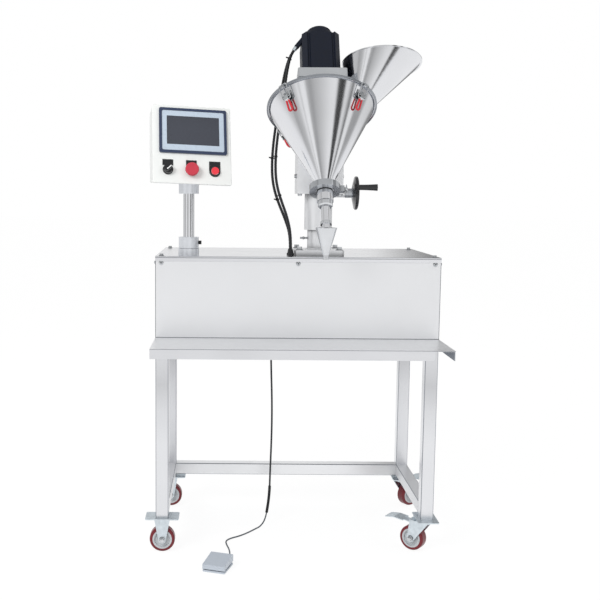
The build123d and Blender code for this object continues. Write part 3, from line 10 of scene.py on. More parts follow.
import json
import logging
import math
from collections.abc import Callable, Sequence
from dataclasses import dataclass, field
from enum import Enum

import bpy
import numpy as np
from mathutils import Matrix, Vector

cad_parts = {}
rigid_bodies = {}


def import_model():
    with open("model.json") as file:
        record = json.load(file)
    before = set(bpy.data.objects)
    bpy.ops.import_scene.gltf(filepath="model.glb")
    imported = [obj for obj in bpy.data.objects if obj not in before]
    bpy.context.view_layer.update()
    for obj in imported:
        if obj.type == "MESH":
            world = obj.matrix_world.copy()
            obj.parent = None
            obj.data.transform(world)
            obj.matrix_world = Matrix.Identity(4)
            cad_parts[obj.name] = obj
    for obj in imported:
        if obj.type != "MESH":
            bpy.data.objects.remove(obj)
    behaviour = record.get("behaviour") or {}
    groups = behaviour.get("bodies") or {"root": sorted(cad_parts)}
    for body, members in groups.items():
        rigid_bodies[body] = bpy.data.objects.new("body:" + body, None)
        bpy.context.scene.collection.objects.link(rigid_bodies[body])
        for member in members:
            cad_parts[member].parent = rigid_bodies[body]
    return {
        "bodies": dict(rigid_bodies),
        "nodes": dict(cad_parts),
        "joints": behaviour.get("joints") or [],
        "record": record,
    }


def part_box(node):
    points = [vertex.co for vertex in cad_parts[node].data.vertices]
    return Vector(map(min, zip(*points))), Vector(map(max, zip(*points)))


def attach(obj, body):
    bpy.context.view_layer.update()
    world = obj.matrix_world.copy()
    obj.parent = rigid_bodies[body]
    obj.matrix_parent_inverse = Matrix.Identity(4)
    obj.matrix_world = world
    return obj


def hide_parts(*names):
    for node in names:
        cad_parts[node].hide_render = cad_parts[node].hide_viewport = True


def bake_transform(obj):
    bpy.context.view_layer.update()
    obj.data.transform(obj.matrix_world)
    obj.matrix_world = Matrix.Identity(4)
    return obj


log = logging.getLogger("auger_filler")
MM = 0.001

Node = bpy.types.Node
Source = tuple[Node, int | str]
Triple = tuple[float, float, float]
Surface = tuple[np.ndarray, np.ndarray]
Chooser = Callable[[np.ndarray, np.ndarray], np.ndarray]


class Body(str, Enum):
    """CAD bodies that carry added pieces."""

    MACHINE = "machine"
    HEAD = "head"
    SELECTOR = "selector"
    FRONT_SWIVEL = "front_right_swivel"
    REAR_SWIVEL = "rear_right_swivel"


class Slot(str, Enum):
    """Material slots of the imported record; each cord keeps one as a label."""

    ZINC = "zinc-plated steel"
    TURNED = "turned stainless"
    BLACK_CABLE = "black cable"
    GREY_CABLE = "grey cable"
    BLACK_PLASTIC = "black plastic"
    OFF_WHITE = "off-white panel paint"


def linear(code: str) -> tuple[float, ...]:
    """Turn an sRGB hex colour into linear red, green and blue, with an alpha of one."""
    parts = [int(code[i : i + 2], 16) / 255 for i in (0, 2, 4)]
    return *(c / 12.92 if c <= 0.04045 else ((c + 0.055) / 1.055) ** 2.4 for c in parts), 1.0


@dataclass
class NodeGraph:
    """A node tree that is filled one node at a time."""

    tree: bpy.types.NodeTree

    @classmethod
    def of(cls, holder: bpy.types.Material | bpy.types.World) -> NodeGraph:
        """Empty the node tree of a material or a world.

        Args:
            holder: What the tree belongs to.

        Returns:
            The graph to fill.
        """
        holder.use_nodes = True
        holder.node_tree.nodes.clear()
        return cls(holder.node_tree)

    def add(self, kind: str, inputs: dict | None = None, **settings: object) -> Node:
        """Add one node, set its properties and fill or link its sockets.

        Args:
            kind: Node type without the ShaderNode prefix.
            inputs: Socket name or number to a value, or to a (node, output) pair to link.
            **settings: Node properties, such as operation or data_type.

        Returns:
            The new node.
        """
        node = self.tree.nodes.new(f"ShaderNode{kind}")
        for name, value in settings.items():
            setattr(node, name, value)
        for key, value in (inputs or {}).items():
            socket = node.inputs[key]
            if isinstance(value, tuple) and isinstance(value[0], Node):
                self.tree.links.new(value[0].outputs[value[1]], socket)
            else:
                socket.default_value = value
        return node


@dataclass(frozen=True)
class Finish:
    """A surface finish: a name for the real material and how it was made, and a base colour."""

    name: str
    colour: str

    def shade(self, graph: NodeGraph) -> Node:
        """Add the nodes of the finish and return the one whose first output is a surface shader."""
        raise NotImplementedError

    def material(self) -> bpy.types.Material:
        """Return the Blender material, made at the first call.

        Returns:
            The material that carries the finish's name.
        """
        made = bpy.data.materials.get(self.name)
        if made is None:
            made = bpy.data.materials.new(self.name)
            graph = NodeGraph.of(made)
            graph.add("OutputMaterial", {"Surface": (self.shade(graph), 0)})
        return made


# Part of a noise's range that holds most of its values
NOISE_SPAN = (0.3, 0.7)
# Painted crevice shade: openness at which a corner is darkest and at which it is bright, its darkest tone,
# and the rays of the test
CREVICE_OPEN = (0.35, 0.9)
CREVICE_TONE = 0.08
CREVICE_RAYS = 6


def between(value: Source, start: float, end: float, low: float = 0.0, high: float = 1.0) -> dict:
    """Give the inputs of a map from start and end to low and high."""
    return {"Value": value, "From Min": start, "From Max": end, "To Min": low, "To Max": high}


def grain(graph: NodeGraph, size_mm: Sequence[float], detail: float = 3.0) -> Node:
    """Add noise whose blobs have the given size along each axis.

    Args:
        graph: The tree to add to.
        size_mm: Feature size along X, Y and Z in millimetres.
        detail: Number of finer octaves.

    Returns:
        The noise node, whose Fac output runs from zero to one.
    """
    place = graph.add("TexCoord")
    scale = [1 / (size * MM) for size in size_mm]
    stretch = graph.add("Mapping", {"Vector": (place, "Object"), "Scale": scale})
    return graph.add("TexNoise", {"Vector": (stretch, 0), "Scale": 1.0, "Detail": detail})


def spread(fac: Node, low: float, high: float) -> dict:
    """Give the inputs of a map from the middle of a noise to values from low to high."""
    return between((fac, 0), *NOISE_SPAN, low, high)


def tinted(graph: NodeGraph, colour: str, fac: Node, low: float, high: float) -> Node:
    """Darken and lighten a hex colour with a noise, by factors from low to high."""
    value = graph.add("MapRange", spread(fac, low, high))
    return graph.add("HueSaturation", {"Color": linear(colour), "Value": (value, 0)})


def fill_stops(node: Node, levels: Sequence[tuple[float, float]]) -> None:
    """Set the greys of a colour ramp.

    Args:
        node: The colour ramp node.
        levels: (share, brightness) pairs, at most 32.
    """
    stops = node.color_ramp.elements
    stops.remove(stops[1])
    for number, (at, level) in enumerate(levels):
        stop = stops.new(at) if number else stops[0]
        stop.position = at
        stop.color = (level, level, level, 1)


@dataclass(frozen=True)
class PaintedReflection:
    """Painted reflection: slow light and dark bands painted along straight sheet or tube, as (millimetres,
    brightness) pairs on one axis.
    """

    axis: str
    levels: tuple[tuple[float, float], ...]

    def applied(self, graph: NodeGraph, tone: Node) -> Node:
        """Paint the reflection bands into a colour by lightening and darkening it along the axis.

        Args:
            graph: The tree to add to.
            tone: A node whose first output is the colour.

        Returns:
            A node whose Color output is the changed colour.
        """
        first, last = self.levels[0][0], self.levels[-1][0]
        place = graph.add("SeparateXYZ", {0: (graph.add("TexCoord"), "Object")})
        share = graph.add("MapRange", between((place, self.axis), first * MM, last * MM))
        value = graph.add("ValToRGB", {"Fac": (share, 0)})
        fill_stops(value, [((at - first) / (last - first), level) for at, level in self.levels])
        return graph.add("HueSaturation", {"Color": (tone, 0), "Value": (value, 0)})


def painted_crevice_shade(graph: NodeGraph, tone: Node, reach_mm: float) -> Node:
    """Paint shade into a colour in corners and gaps, where polished metal mirrors only its dark neighbours.

    Args:
        graph: The tree to add to.
        tone: A node whose first output is the colour.
        reach_mm: How far a neighbour counts.

    Returns:
        A node whose Color output is the darkened colour.
    """
    free = graph.add("AmbientOcclusion", {"Distance": reach_mm * MM}, samples=CREVICE_RAYS)
    value = graph.add("MapRange", between((free, "AO"), *CREVICE_OPEN, CREVICE_TONE))
    return graph.add("HueSaturation", {"Color": (tone, 0), "Value": (value, 0)})


@dataclass(frozen=True)
class BrushedMetal(Finish):
    """Metal with a fine grain along one direction: soft stretched highlights and faint cloudy tone."""

    roughness: float
    grain_mm: Triple
    cloud_mm: float
    relief_mm: float
    contrast: float
    # Reach of the painted crevice shade in millimetres, zero for none
    crevice_mm: float = 0.0
    metallic: float = 1.0
    # Bands of painted reflection along one axis, if any
    fade: PaintedReflection | None = None
    streak: float = 0.12
    relief: float = 0.4

    def shade(self, graph: NodeGraph) -> Node:
        """Streaky roughness and relief along the grain, with slow clouds in the tone, and, where set, painted
        reflection bands and painted crevice shade.

        Args:
            graph: The empty node tree of the material.

        Returns:
            The Principled node.
        """
        streaks = grain(graph, self.grain_mm)
        clouds = grain(graph, (self.cloud_mm,) * 3, 2.0)
        tone = tinted(graph, self.colour, clouds, 1 - self.contrast, 1 + self.contrast / 2)
        if self.fade:
            tone = self.fade.applied(graph, tone)
        if self.crevice_mm:
            tone = painted_crevice_shade(graph, tone, self.crevice_mm)
        dull, gloss = self.roughness * (1 + self.streak), self.roughness * (1 - self.streak)
        rough = graph.add("MapRange", spread(streaks, gloss, dull))
        height = {"Height": (streaks, 0), "Strength": self.relief, "Distance": self.relief_mm * MM}
        inputs = {
            "Base Color": (tone, 0),
            "Metallic": self.metallic,
            "Roughness": (rough, 0),
            "Normal": (graph.add("Bump", height), 0),
        }
        return graph.add("BsdfPrincipled", inputs)


@dataclass(frozen=True)
class Moulded(Finish):
    """Moulded plastic, paint or rubber: a fine pebbled skin with slight changes of tone and gloss."""

    roughness: float
    pebble_mm: float
    relief_mm: float
    contrast: float
    coat: float = 0.0
    metallic: float = 0.0
    specular: float = 0.5
    coat_roughness: float = 0.08
    mottle: float = 0.15
    mottle_pebbles: float = 25.0
    relief: float = 0.3

    def shade(self, graph: NodeGraph) -> Node:
        """Pebbled relief, a little mottling, and an optional clear coat.

        Args:
            graph: The empty node tree of the material.

        Returns:
            The Principled node.
        """
        pebbles = grain(graph, (self.pebble_mm,) * 3, 1.0)
        mottle = grain(graph, (self.pebble_mm * self.mottle_pebbles,) * 3, 2.0)
        tone = tinted(graph, self.colour, mottle, 1 - self.contrast, 1 + self.contrast)
        dull, gloss = self.roughness * (1 + self.mottle), self.roughness * (1 - self.mottle)
        rough = graph.add("MapRange", spread(mottle, gloss, dull))
        height = {"Height": (pebbles, 0), "Strength": self.relief, "Distance": self.relief_mm * MM}
        inputs = {
            "Base Color": (tone, 0),
            "Roughness": (rough, 0),
            "Metallic": self.metallic,
            "Specular IOR Level": self.specular,
            "Coat Weight": self.coat,
            "Coat Roughness": self.coat_roughness,
            "Normal": (graph.add("Bump", height), 0),
        }
        return graph.add("BsdfPrincipled", inputs)


@dataclass(frozen=True)
class Ribbed(Finish):
    """Cable jacket with ribs across its length, read from the tube's UV map."""

    rib_mm: float
    length_mm: float
    roughness: float = 0.5
    skin_mm: float = 1.5
    skin_tone: tuple[float, float] = (0.75, 1.2)
    relief: float = 0.5
    relief_mm: float = 0.4

    def shade(self, graph: NodeGraph) -> Node:
        """Slanted wraps along the tube with a dull skin.

        Args:
            graph: The empty node tree of the material.

        Returns:
            The Principled node.
        """
        waves = (1.0, self.length_mm / self.rib_mm / math.tau, 1.0)
        place = graph.add("Mapping", {"Vector": (graph.add("UVMap"), 0), "Scale": waves})
        wave = {"Vector": (place, 0), "Scale": 1.0, "Distortion": 0.0}
        wraps = graph.add("TexWave", wave, bands_direction="DIAGONAL")
        tone = tinted(graph, self.colour, grain(graph, (self.skin_mm,) * 3), *self.skin_tone)
        height = {"Height": (wraps, "Fac"), "Strength": self.relief, "Distance": self.relief_mm * MM}
        normal = (graph.add("Bump", height), 0)
        inputs = {"Base Color": (tone, 0), "Roughness": self.roughness, "Normal": normal}
        return graph.add("BsdfPrincipled", inputs)


@dataclass(frozen=True)
class Display(Finish):
    """Unlit touch display: dark glass over a faint dot grid."""

    pitch_mm: float = 0.6
    fade_mm: Triple = (260.0, 260.0, 160.0)
    fade_tone: tuple[float, float] = (0.9, 1.15)
    roughness: tuple[float, float] = (0.22, 0.32)
    specular: float = 0.4

    def shade(self, graph: NodeGraph) -> Node:
        """A glossy dark layer with a weak vertical fade and a dot grid.

        Args:
            graph: The empty node tree of the material.

        Returns:
            The Principled node.
        """
        fade = grain(graph, self.fade_mm, 0.0)
        dots = grain(graph, (self.pitch_mm,) * 3, 0.0)
        tone = tinted(graph, self.colour, fade, *self.fade_tone)
        rough = graph.add("MapRange", spread(dots, *self.roughness))
        inputs = {"Base Color": (tone, 0), "Roughness": (rough, 0), "Specular IOR Level": self.specular}
        return graph.add("BsdfPrincipled", inputs)


@dataclass(frozen=True)
class WheelFinish(Finish):
    """A wheel in two materials: one beyond a set distance from the axle, the other inside it."""

    middle: Triple
    axle: Triple
    tread: Finish
    web: Finish
    border_mm: float = 28.6
    blur_mm: float = 0.3

    def shade(self, graph: NodeGraph) -> Node:
        """Measure the distance |(p - m) x a| from the axle and switch materials at the border.

        Args:
            graph: The empty node tree of the material.

        Returns:
            The mixing node.
        """
        place = graph.add("TexCoord")
        arm = graph.add("VectorMath", {0: (place, "Object"), 1: self.middle}, operation="SUBTRACT")
        lever = graph.add("VectorMath", {0: (arm, 0), 1: self.axle}, operation="CROSS_PRODUCT")
        far = graph.add("VectorMath", {0: (lever, 0)}, operation="LENGTH")
        limits = (self.border_mm * MM, (self.border_mm + self.blur_mm) * MM)
        edge = graph.add("MapRange", between((far, "Value"), *limits))
        tread, web = self.tread.shade(graph), self.web.shade(graph)
        return graph.add("MixShader", {"Fac": (edge, 0), 1: (web, 0), 2: (tread, 0)})


# Grain sizes along X, Y and Z in millimetres: brushed along an axis, turned in rings, drawn along X. Real
# brush lines and turning rings are finer than 0.2 mm, and are drawn coarser here so that they show
GRAIN_X = (70.0, 70.0, 0.5)
GRAIN_Y = (0.5, 80.0, 0.5)
GRAIN_Z = (0.5, 0.5, 80.0)
RINGS = (8.0, 8.0, 0.35)
DRAWN = (70.0, 2.0, 2.0)


def satin(
    name: str,
    colour: str,
    roughness: float,
    grain_mm: Triple = GRAIN_X,
    cloud_mm: float = 240.0,
    contrast: float = 0.02,
    relief_mm: float = 0.004,
    **more: object,
) -> BrushedMetal:
    """Make satin-brushed sheet or tube, whose grain is very shallow."""
    return BrushedMetal(name, colour, roughness, grain_mm, cloud_mm, relief_mm, contrast, **more)


# Cold-rolled stainless sheet with a satin grain that runs along X: broad soft reflections
SHEET_ALONG = satin("stainless sheet, satin-brushed along X", "eeeff1", 0.33)
# Lid sheet with a brighter, finer finish that mirrors what stands on it
SHEET_LID = BrushedMetal("stainless lid, fine-polished", "eaebee", 0.2, GRAIN_X, 240.0, 0.003, 0.02)
# Cabinet front: satin sheet that scatters some light, so its foot stays pale above the ledge
FRONT_SHEET = satin("stainless front, satin-brushed along X", "eeeff1", 0.34, metallic=0.7)
# Satin ledge: scuffed by jars, so it scatters light beside its reflections
LEDGE_SHEET = satin("stainless ledge, satin-brushed along X", "eeeff1", 0.36, metallic=0.55)
# Front lip: the same sheet seen square on, with painted shade that makes it a shade darker than the ledge's
# edge
LIP_SHEET = BrushedMetal("stainless lip, satin-brushed along X", "e5e6e9", 0.33, GRAIN_X, 200.0, 0.006, 0.06)
# Inner faces of the lips: the sheet painted dark grey as painted shade, for the tray's own shade
SHADE_STEEL = BrushedMetal("stainless lip, painted shade", "6f7783", 0.4, DRAWN, 60.0, 0.003, 0.06)
# Bent edges of the sheet: a darker colour painted on them as the reflection of the dark side of the room
EDGE_STEEL = BrushedMetal("stainless bend, painted dark reflection", "9a9ea5", 0.3, DRAWN, 60.0, 0.003, 0.04)
# Legs: satin tube with a painted reflection, a soft dark band painted across it below the tray
LEG_REFLECTION_BAND = PaintedReflection("Z", ((100, 0.98), (330, 1.0), (430, 0.92), (505, 0.77), (570, 0.9), (640, 0.96)))
LEG_TUBE = satin("stainless leg, satin-brushed along Z", "e8e9ec", 0.3, GRAIN_Z, 200.0, 0.03, fade=LEG_REFLECTION_BAND)
# Long rails: painted reflection, brighter in the middle and dull towards the right-hand leg
RAIL_REFLECTION_BAND = PaintedReflection("X", ((-400, 0.9), (-330, 0.97), (-150, 1.03), (200, 1.03), (300, 0.9), (370, 0.82)))
LONG_RAIL = satin("stainless rail, satin-brushed along X", "eeeff1", 0.33, fade=RAIL_REFLECTION_BAND)
# Side rails: pale satin, lit from above
SIDE_RAIL = satin(
    "stainless rail, satin-brushed along Y", "e9eaed", 0.36, GRAIN_Y, contrast=0.03, metallic=0.5
)
# Ground column tube: flat and pale, with painted shade where the bracket closes over it
COLUMN_STEEL = satin(
    "stainless tube, ground", "eeeff1", 0.34, GRAIN_Z, 120.0, 0.03, crevice_mm=22.0, metallic=0.55
)
# Folded bracket: satin sheet that scatters some light in the shade of the hopper
BRACKET_SHEET = satin(
    "stainless bracket, satin-brushed along Z", "f0f1f3", 0.34, GRAIN_Z, 200.0, 0.03, metallic=0.5
)
# Rolled and polished cone sheet: long mirror streaks with a slight haze
CONE_SHEET = BrushedMetal(
    "stainless cone, rolled and polished", "e3e4e7", 0.13, (1.2, 1.2, 90.0), 120.0, 0.006, 0.04
)
# Turned stainless: tight rings that break the highlight, with painted shade in its corners
TURNED = BrushedMetal("stainless bar, turned", "dadcdf", 0.14, RINGS, 40.0, 0.012, 0.06, 16.0)
# Clamped outlet: small polished ferrules, with painted shade that makes every gap nearly black
FERRULE = BrushedMetal("stainless ferrule, polished", "c2c5c9", 0.08, RINGS, 40.0, 0.01, 0.08, 26.0)
# Spun guide funnel: a duller grey than the polished hopper
SPUN = BrushedMetal("stainless spout, spun", "dadcdf", 0.24, RINGS, 40.0, 0.006, 0.05)
# Polished pole tube: a near mirror with thin dark lines
POLISHED_TUBE = BrushedMetal("stainless tube, polished", "e8e9ec", 0.1, (1.0, 1.0, 90.0), 60.0, 0.003, 0.03)
# Anodised collars above and below the pole: pale and soft
SATIN_COLLAR = BrushedMetal("aluminium collar, satin-anodised", "f0f3f8", 0.42, RINGS, 40.0, 0.006, 0.03)
# Rolled clamp ring round the lid, darker than the sheet beside it
RING_STEEL = BrushedMetal("clamp ring, rolled steel", "a4a8ae", 0.2, (2.0, 2.0, 2.0), 40.0, 0.006, 0.06)
# Bright steel wire and pressed fittings: sharp glints, with painted shade in their gaps
BRIGHT = BrushedMetal("steel fittings, bright-drawn", "d0d3d6", 0.12, (1.0, 1.0, 12.0), 20.0, 0.01, 0.1, 9.0)
# Zinc plate: bluish, with a soft spangle
ZINC = BrushedMetal("pressed steel, bright zinc plate", "dce5eb", 0.4, (3.0, 3.0, 3.0), 12.0, 0.02, 0.12)
# Machined aluminium block: pale and dull, with visible cutter marks
MILLED = BrushedMetal("aluminium block, milled", "d2d5d8", 0.38, (0.6, 14.0, 14.0), 60.0, 0.015, 0.06)
# Turned hub of the handwheel: dull grey against the black rim
HUB_STEEL = BrushedMetal("steel hub, turned", "b4b7bb", 0.3, (0.4, 6.0, 6.0), 20.0, 0.02, 0.12)
# Powder-coated control box: warm white with a fine orange-peel skin
PANEL_PAINT = Moulded("steel box, off-white powder coat", "f1f3f1", 0.42, 1.4, 0.02, 0.012)
# Navy frame round the touch panel: a soft sheen on its raised border
BEZEL_NAVY = Moulded("touch panel frame, navy moulding", "2f3b57", 0.38, 0.5, 0.02, 0.06)
# Pale printed film inside the navy frame: smooth, cool and even
BEZEL_FILM = Moulded("touch panel film, pale print", "c0cedd", 0.3, 0.4, 0.005, 0.02)
# Unlit display: slate grey under glass, with its dots coarser than the real 0.2 mm so that they show
DISPLAY = Display("touch display, unlit", "3e414a")
# Legend plates, switch bodies and glands: soft black
BLACK_SATIN = Moulded("black moulding, satin", "17181b", 0.38, 0.5, 0.02, 0.1)
# Phenolic handwheel and grip: deep black with sharp highlights
PHENOLIC = Moulded("phenolic moulding, polished black", "141518", 0.22, 2.0, 0.01, 0.1, 0.3)
# Mushroom head: a dull moulded face in a slightly faded red
STOP_RED = Moulded("stop button, red moulding", "c8394a", 0.5, 0.6, 0.05, 0.05)
# Push button cap: clear bright red under a gloss
START_RED = Moulded("push button, red gloss cap", "ee2b3c", 0.2, 1.2, 0.01, 0.04, 0.4)
# Dipped vinyl on the latch handles: a wet-looking red
LATCH_RED = Moulded("latch handle, dipped red vinyl", "d0202f", 0.28, 1.0, 0.02, 0.05, 0.4)
# Motor housing enamel, nearly black with a blue cast
ENAMEL = Moulded("motor housing, blue-black enamel", "0a1222", 0.46, 0.9, 0.02, 0.12, specular=0.3)
# Polyurethane tread, deep red and slightly cloudy
TREAD_RED = Moulded("castor tread, red polyurethane", "74091a", 0.34, 1.5, 0.02, 0.12, 0.1)
# Nylon web inside the tread: pale and waxy
WEB_GREY = Moulded("castor web, grey nylon", "c9cdd0", 0.42, 0.9, 0.02, 0.05)
# Painted casting of the foot switch: blue-grey with a hammered relief
PEDAL_GREY = Moulded("foot switch casting, grey hammered paint", "c6ced8", 0.42, 2.4, 0.05, 0.04, 0.1, 0.2)
# Ink of the selector pointer: flat white
POINTER_WHITE = Moulded("pointer inlay, white", "f4f5f4", 0.4, 0.5, 0.01, 0.02)
# Painted shade strips: flat dark grey without highlights, laid where shade falls in the cabinet's gaps and
# along its front edges
GAP_SHADE_STRIP = Moulded("lid joint, painted gap shade", "5c6068", 0.6, 0.8, 0.02, 0.06)
# Spiral wrap on the motor cables, with small bright glints on its turns
WRAP_BLACK = Moulded("cable, black spiral wrap", "17191d", 0.34, 1.2, 0.03, 0.15)
# Leads and their splice: dull jackets with fine ribs
JACKET_BLACK = Ribbed("lead, black rubber jacket", "26292d", 3.0, 520.0)
JACKET_GREY = Ribbed("lead, grey vinyl jacket", "5a6066", 3.0, 400.0, 0.42)
SLEEVE_BLACK = Ribbed("splice, black shrink sleeve", "141619", 12.0, 90.0, 0.6)
# Cable ties: darker and smoother than the wrap below them
TIE_BLACK = Moulded("cable tie, black nylon", "101113", 0.35, 0.6, 0.02, 0.05)


def revolved(profile: Sequence[tuple[float, float]], segments: int = 20) -> Surface:
    """Turn a profile round Z: S(i, k) = (r_i cos a_k, r_i sin a_k, z_i) with a_k = 2 pi k / segments.

    Args:
        profile: (radius, height) pairs from the bottom of the outside to its top.
        segments: Steps round the axis; six makes a hexagon.

    Returns:
        Vertices and quads, with faces that look outwards.
    """
    radii, heights = np.asarray(profile, float).T
    turn = np.linspace(0, math.tau, segments, endpoint=False)
    flat = [np.outer(radii, np.cos(turn)), np.outer(radii, np.sin(turn))]
    points = np.stack([*flat, np.repeat(heights[:, None], segments, axis=1)], axis=-1)
    return points.reshape(-1, 3), grid_faces(len(radii), segments)


def grid_faces(rows: int, columns: int) -> np.ndarray:
    """Join a grid of points into quads, closed round its columns.

    Args:
        rows: Points along the profile or path.
        columns: Points round the section.

    Returns:
        Quads as rows of four vertex numbers.
    """
    i, k = np.meshgrid(np.arange(rows - 1), np.arange(columns), indexing="ij")
    here = i * columns + k
    beside = i * columns + (k + 1) % columns
    return np.stack([here, beside, beside + columns, here + columns], axis=-1).reshape(-1, 4)


# A direction that no cable takes, to start the frame of a tube
START_SIDE = (0.3, 0.9, 0.31)
# Power that makes a ribbon's section a rounded box, and the steps round it
CROWN_POWER = 0.4
CROWN_STEPS = 12


def swept(path: np.ndarray, radius: np.ndarray, segments: int) -> Surface:
    """Carry a circle along a path: S(i, k) = p_i + r (n_i cos a_k + b_i sin a_k), with a twist-free frame.

    Args:
        path: Points of the centre line.
        radius: Tube radius for each point and step round the tube.
        segments: Steps round the tube.

    Returns:
        Vertices and quads of the open tube.
    """
    along = np.gradient(path, axis=0)
    along /= np.linalg.norm(along, axis=1, keepdims=True)
    side = np.cross(along[0], START_SIDE)
    sides = []
    for way in along:
        side = side - way * (side @ way)
        side = side / np.linalg.norm(side)
        sides.append(side)
    normal = np.array(sides)
    other = np.cross(along, normal)
    turn = np.linspace(0, math.tau, segments, endpoint=False)
    ring = normal[:, None] * np.cos(turn)[None, :, None] + other[:, None] * np.sin(turn)[None, :, None]
    points = path[:, None] + ring * radius[:, :, None]
    return points.reshape(-1, 3), grid_faces(len(path), segments)


def ellipsoid(radii: Triple, segments: int = 16, rows: int = 9) -> Surface:
    """Stretch a ball: S(t, a) = (x sin t cos a, y sin t sin a, -z cos t) with the three radii x, y and z."""
    points, quads = revolved([(math.sin(t), -math.cos(t)) for t in np.linspace(0, math.pi, rows)], segments)
    return points * np.array(radii), quads


def ribbon(path: np.ndarray, across: np.ndarray, width: float, height: float) -> Surface:
    """Carry a low crowned section along a path: S(i, k) = p_i + w_k across + h_k up, up = along x across.

    Args:
        path: Points of the centre line.
        across: Unit vector across the ribbon.
        width: Full width.
        height: Full height.

    Returns:
        Vertices and quads of the ribbon.
    """
    up = np.cross(np.gradient(path, axis=0), across)
    up /= np.linalg.norm(up, axis=1, keepdims=True)
    turn = np.linspace(0, math.tau, CROWN_STEPS, endpoint=False)
    shape = np.sign(np.cos(turn)) * np.abs(np.cos(turn)) ** CROWN_POWER * width / 2
    rise = np.sign(np.sin(turn)) * np.abs(np.sin(turn)) ** CROWN_POWER * height / 2
    points = path[:, None] + shape[None, :, None] * across + rise[None, :, None] * up[:, None]
    return points.reshape(-1, 3), grid_faces(len(path), len(turn))


@dataclass(frozen=True)
class Place:
    """A spot with a direction that its own Z axis takes."""

    origin: Triple
    way: Triple

    def move(self, surface: Surface) -> Surface:
        """Set a surface that was drawn round Z on the spot."""
        turn = Vector(self.way).to_track_quat("Z", "Y").to_matrix()
        return surface[0] @ np.array(turn).T + np.array(self.origin), surface[1]


def joined(surfaces: Sequence[Surface]) -> Surface:
    """Put several surfaces into one.

    Args:
        surfaces: Vertices and faces of each.

    Returns:
        All vertices and all faces, renumbered.
    """
    starts = np.cumsum([0] + [len(points) for points, _ in surfaces[:-1]])
    faces = np.concatenate([quads + start for (_, quads), start in zip(surfaces, starts)])
    return np.concatenate([points for points, _ in surfaces]), faces


def repeated(surface: Surface, spots: Sequence[Place]) -> Surface:
    """Set copies of one surface on several spots."""
    return joined([spot.move(surface) for spot in spots])


def mesh_object(name: str, surface: Surface, material: bpy.types.Material) -> bpy.types.Object:
    """Make a mesh object from vertices and quads and put it into the scene.

    Args:
        name: Name of the object.
        surface: Vertices and quads in the frame of the CAD model.
        material: Its material.

    Returns:
        The mesh object.
    """
    mesh = bpy.data.meshes.new(name)
    mesh.from_pydata(surface[0].tolist(), [], surface[1].tolist())
    mesh.materials.append(material)
    made = bpy.data.objects.new(name, mesh)
    bpy.context.scene.collection.objects.link(made)
    return made


def piece(name: str, surface: Surface, finish: Finish, body: Body | None) -> bpy.types.Object:
    """Make a smooth-shaded mesh piece that rides on a body.

    Args:
        name: Name of the piece.
        surface: Vertices and quads in the frame of the CAD model.
        finish: What it is made of.
        body: The body it moves with, or None where the caller decides.

    Returns:
        The mesh object.
    """
    made = mesh_object(name, surface, finish.material())
    made.data.validate()
    made.data.shade_smooth()
    if body is not None:
        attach(made, body.value)
    log.info("made %s", name)
    return made


def face_rows(mesh: bpy.types.Mesh, value: str) -> np.ndarray:
    """Read the centre or the normal of every face of a mesh.

    Args:
        mesh: Any mesh.
        value: Which of the two.

    Returns:
        One row of three numbers for each face.
    """
    rows = np.zeros(len(mesh.polygons) * 3, np.float32)
    mesh.polygons.foreach_get(value, rows)
    return rows.reshape(-1, 3).astype(float)


def away_from_axis(points: np.ndarray, middle: np.ndarray, way: np.ndarray) -> np.ndarray:
    """Measure the distance of each row of points from the line through middle along way."""
    rel = points - middle
    return np.linalg.norm(rel - np.outer(rel @ way, way), axis=1)


@dataclass
class CadModel:
    """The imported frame, with its nodes and joints by name."""

    nodes: dict[str, bpy.types.Object]
    joints: dict[str, dict]

    @classmethod
    def from_frame(cls, frame: dict) -> CadModel:
        return cls(frame["nodes"], {joint["name"]: joint for joint in frame["joints"]})

    def dress(self, finish: Finish, *names: str) -> None:
        """Give whole nodes one finish.

        Args:
            finish: What the nodes are made of.
            *names: Node names.
        """
        for name in names:
            mesh = self.nodes[name].data
            mesh.materials.clear()
            mesh.materials.append(finish.material())

    def dress_faces(self, name: str, finishes: Sequence[Finish], choose: Chooser) -> None:
        """Give the faces of one node different finishes.

        Args:
            name: Node name.
            finishes: The finishes to choose from.
            choose: Takes face centres and normals, gives the number of a finish for each face.
        """
        mesh = self.nodes[name].data
        mesh.materials.clear()
        for finish in finishes:
            mesh.materials.append(finish.material())
        picked = choose(face_rows(mesh, "center"), face_rows(mesh, "normal")).astype(np.int32)
        mesh.polygons.foreach_set("material_index", picked)
        mesh.update()

    def unmirrored(self, *names: str) -> None:
        """Keep nodes out of the metal's reflections, as a white card beside the hopper would."""
        for name in names:
            self.nodes[name].visible_glossy = False

    def spot(self, joint: str) -> np.ndarray:
        """Return the point in metres that a hinge turns about."""
        return np.array(self.joints[joint]["pos_m"], float)

    def axis(self, joint: str) -> np.ndarray:
        """Return the unit vector along a joint."""
        way = np.array(self.joints[joint]["axis"], float)
        return way / np.linalg.norm(way)

    def beyond(self, joint: str, radius: float) -> Chooser:
        """Make a chooser that gives one to faces further than a radius from a hinge's axis."""
        middle, way = self.spot(joint), self.axis(joint)
        return lambda centres, _: away_from_axis(centres, middle, way) > radius


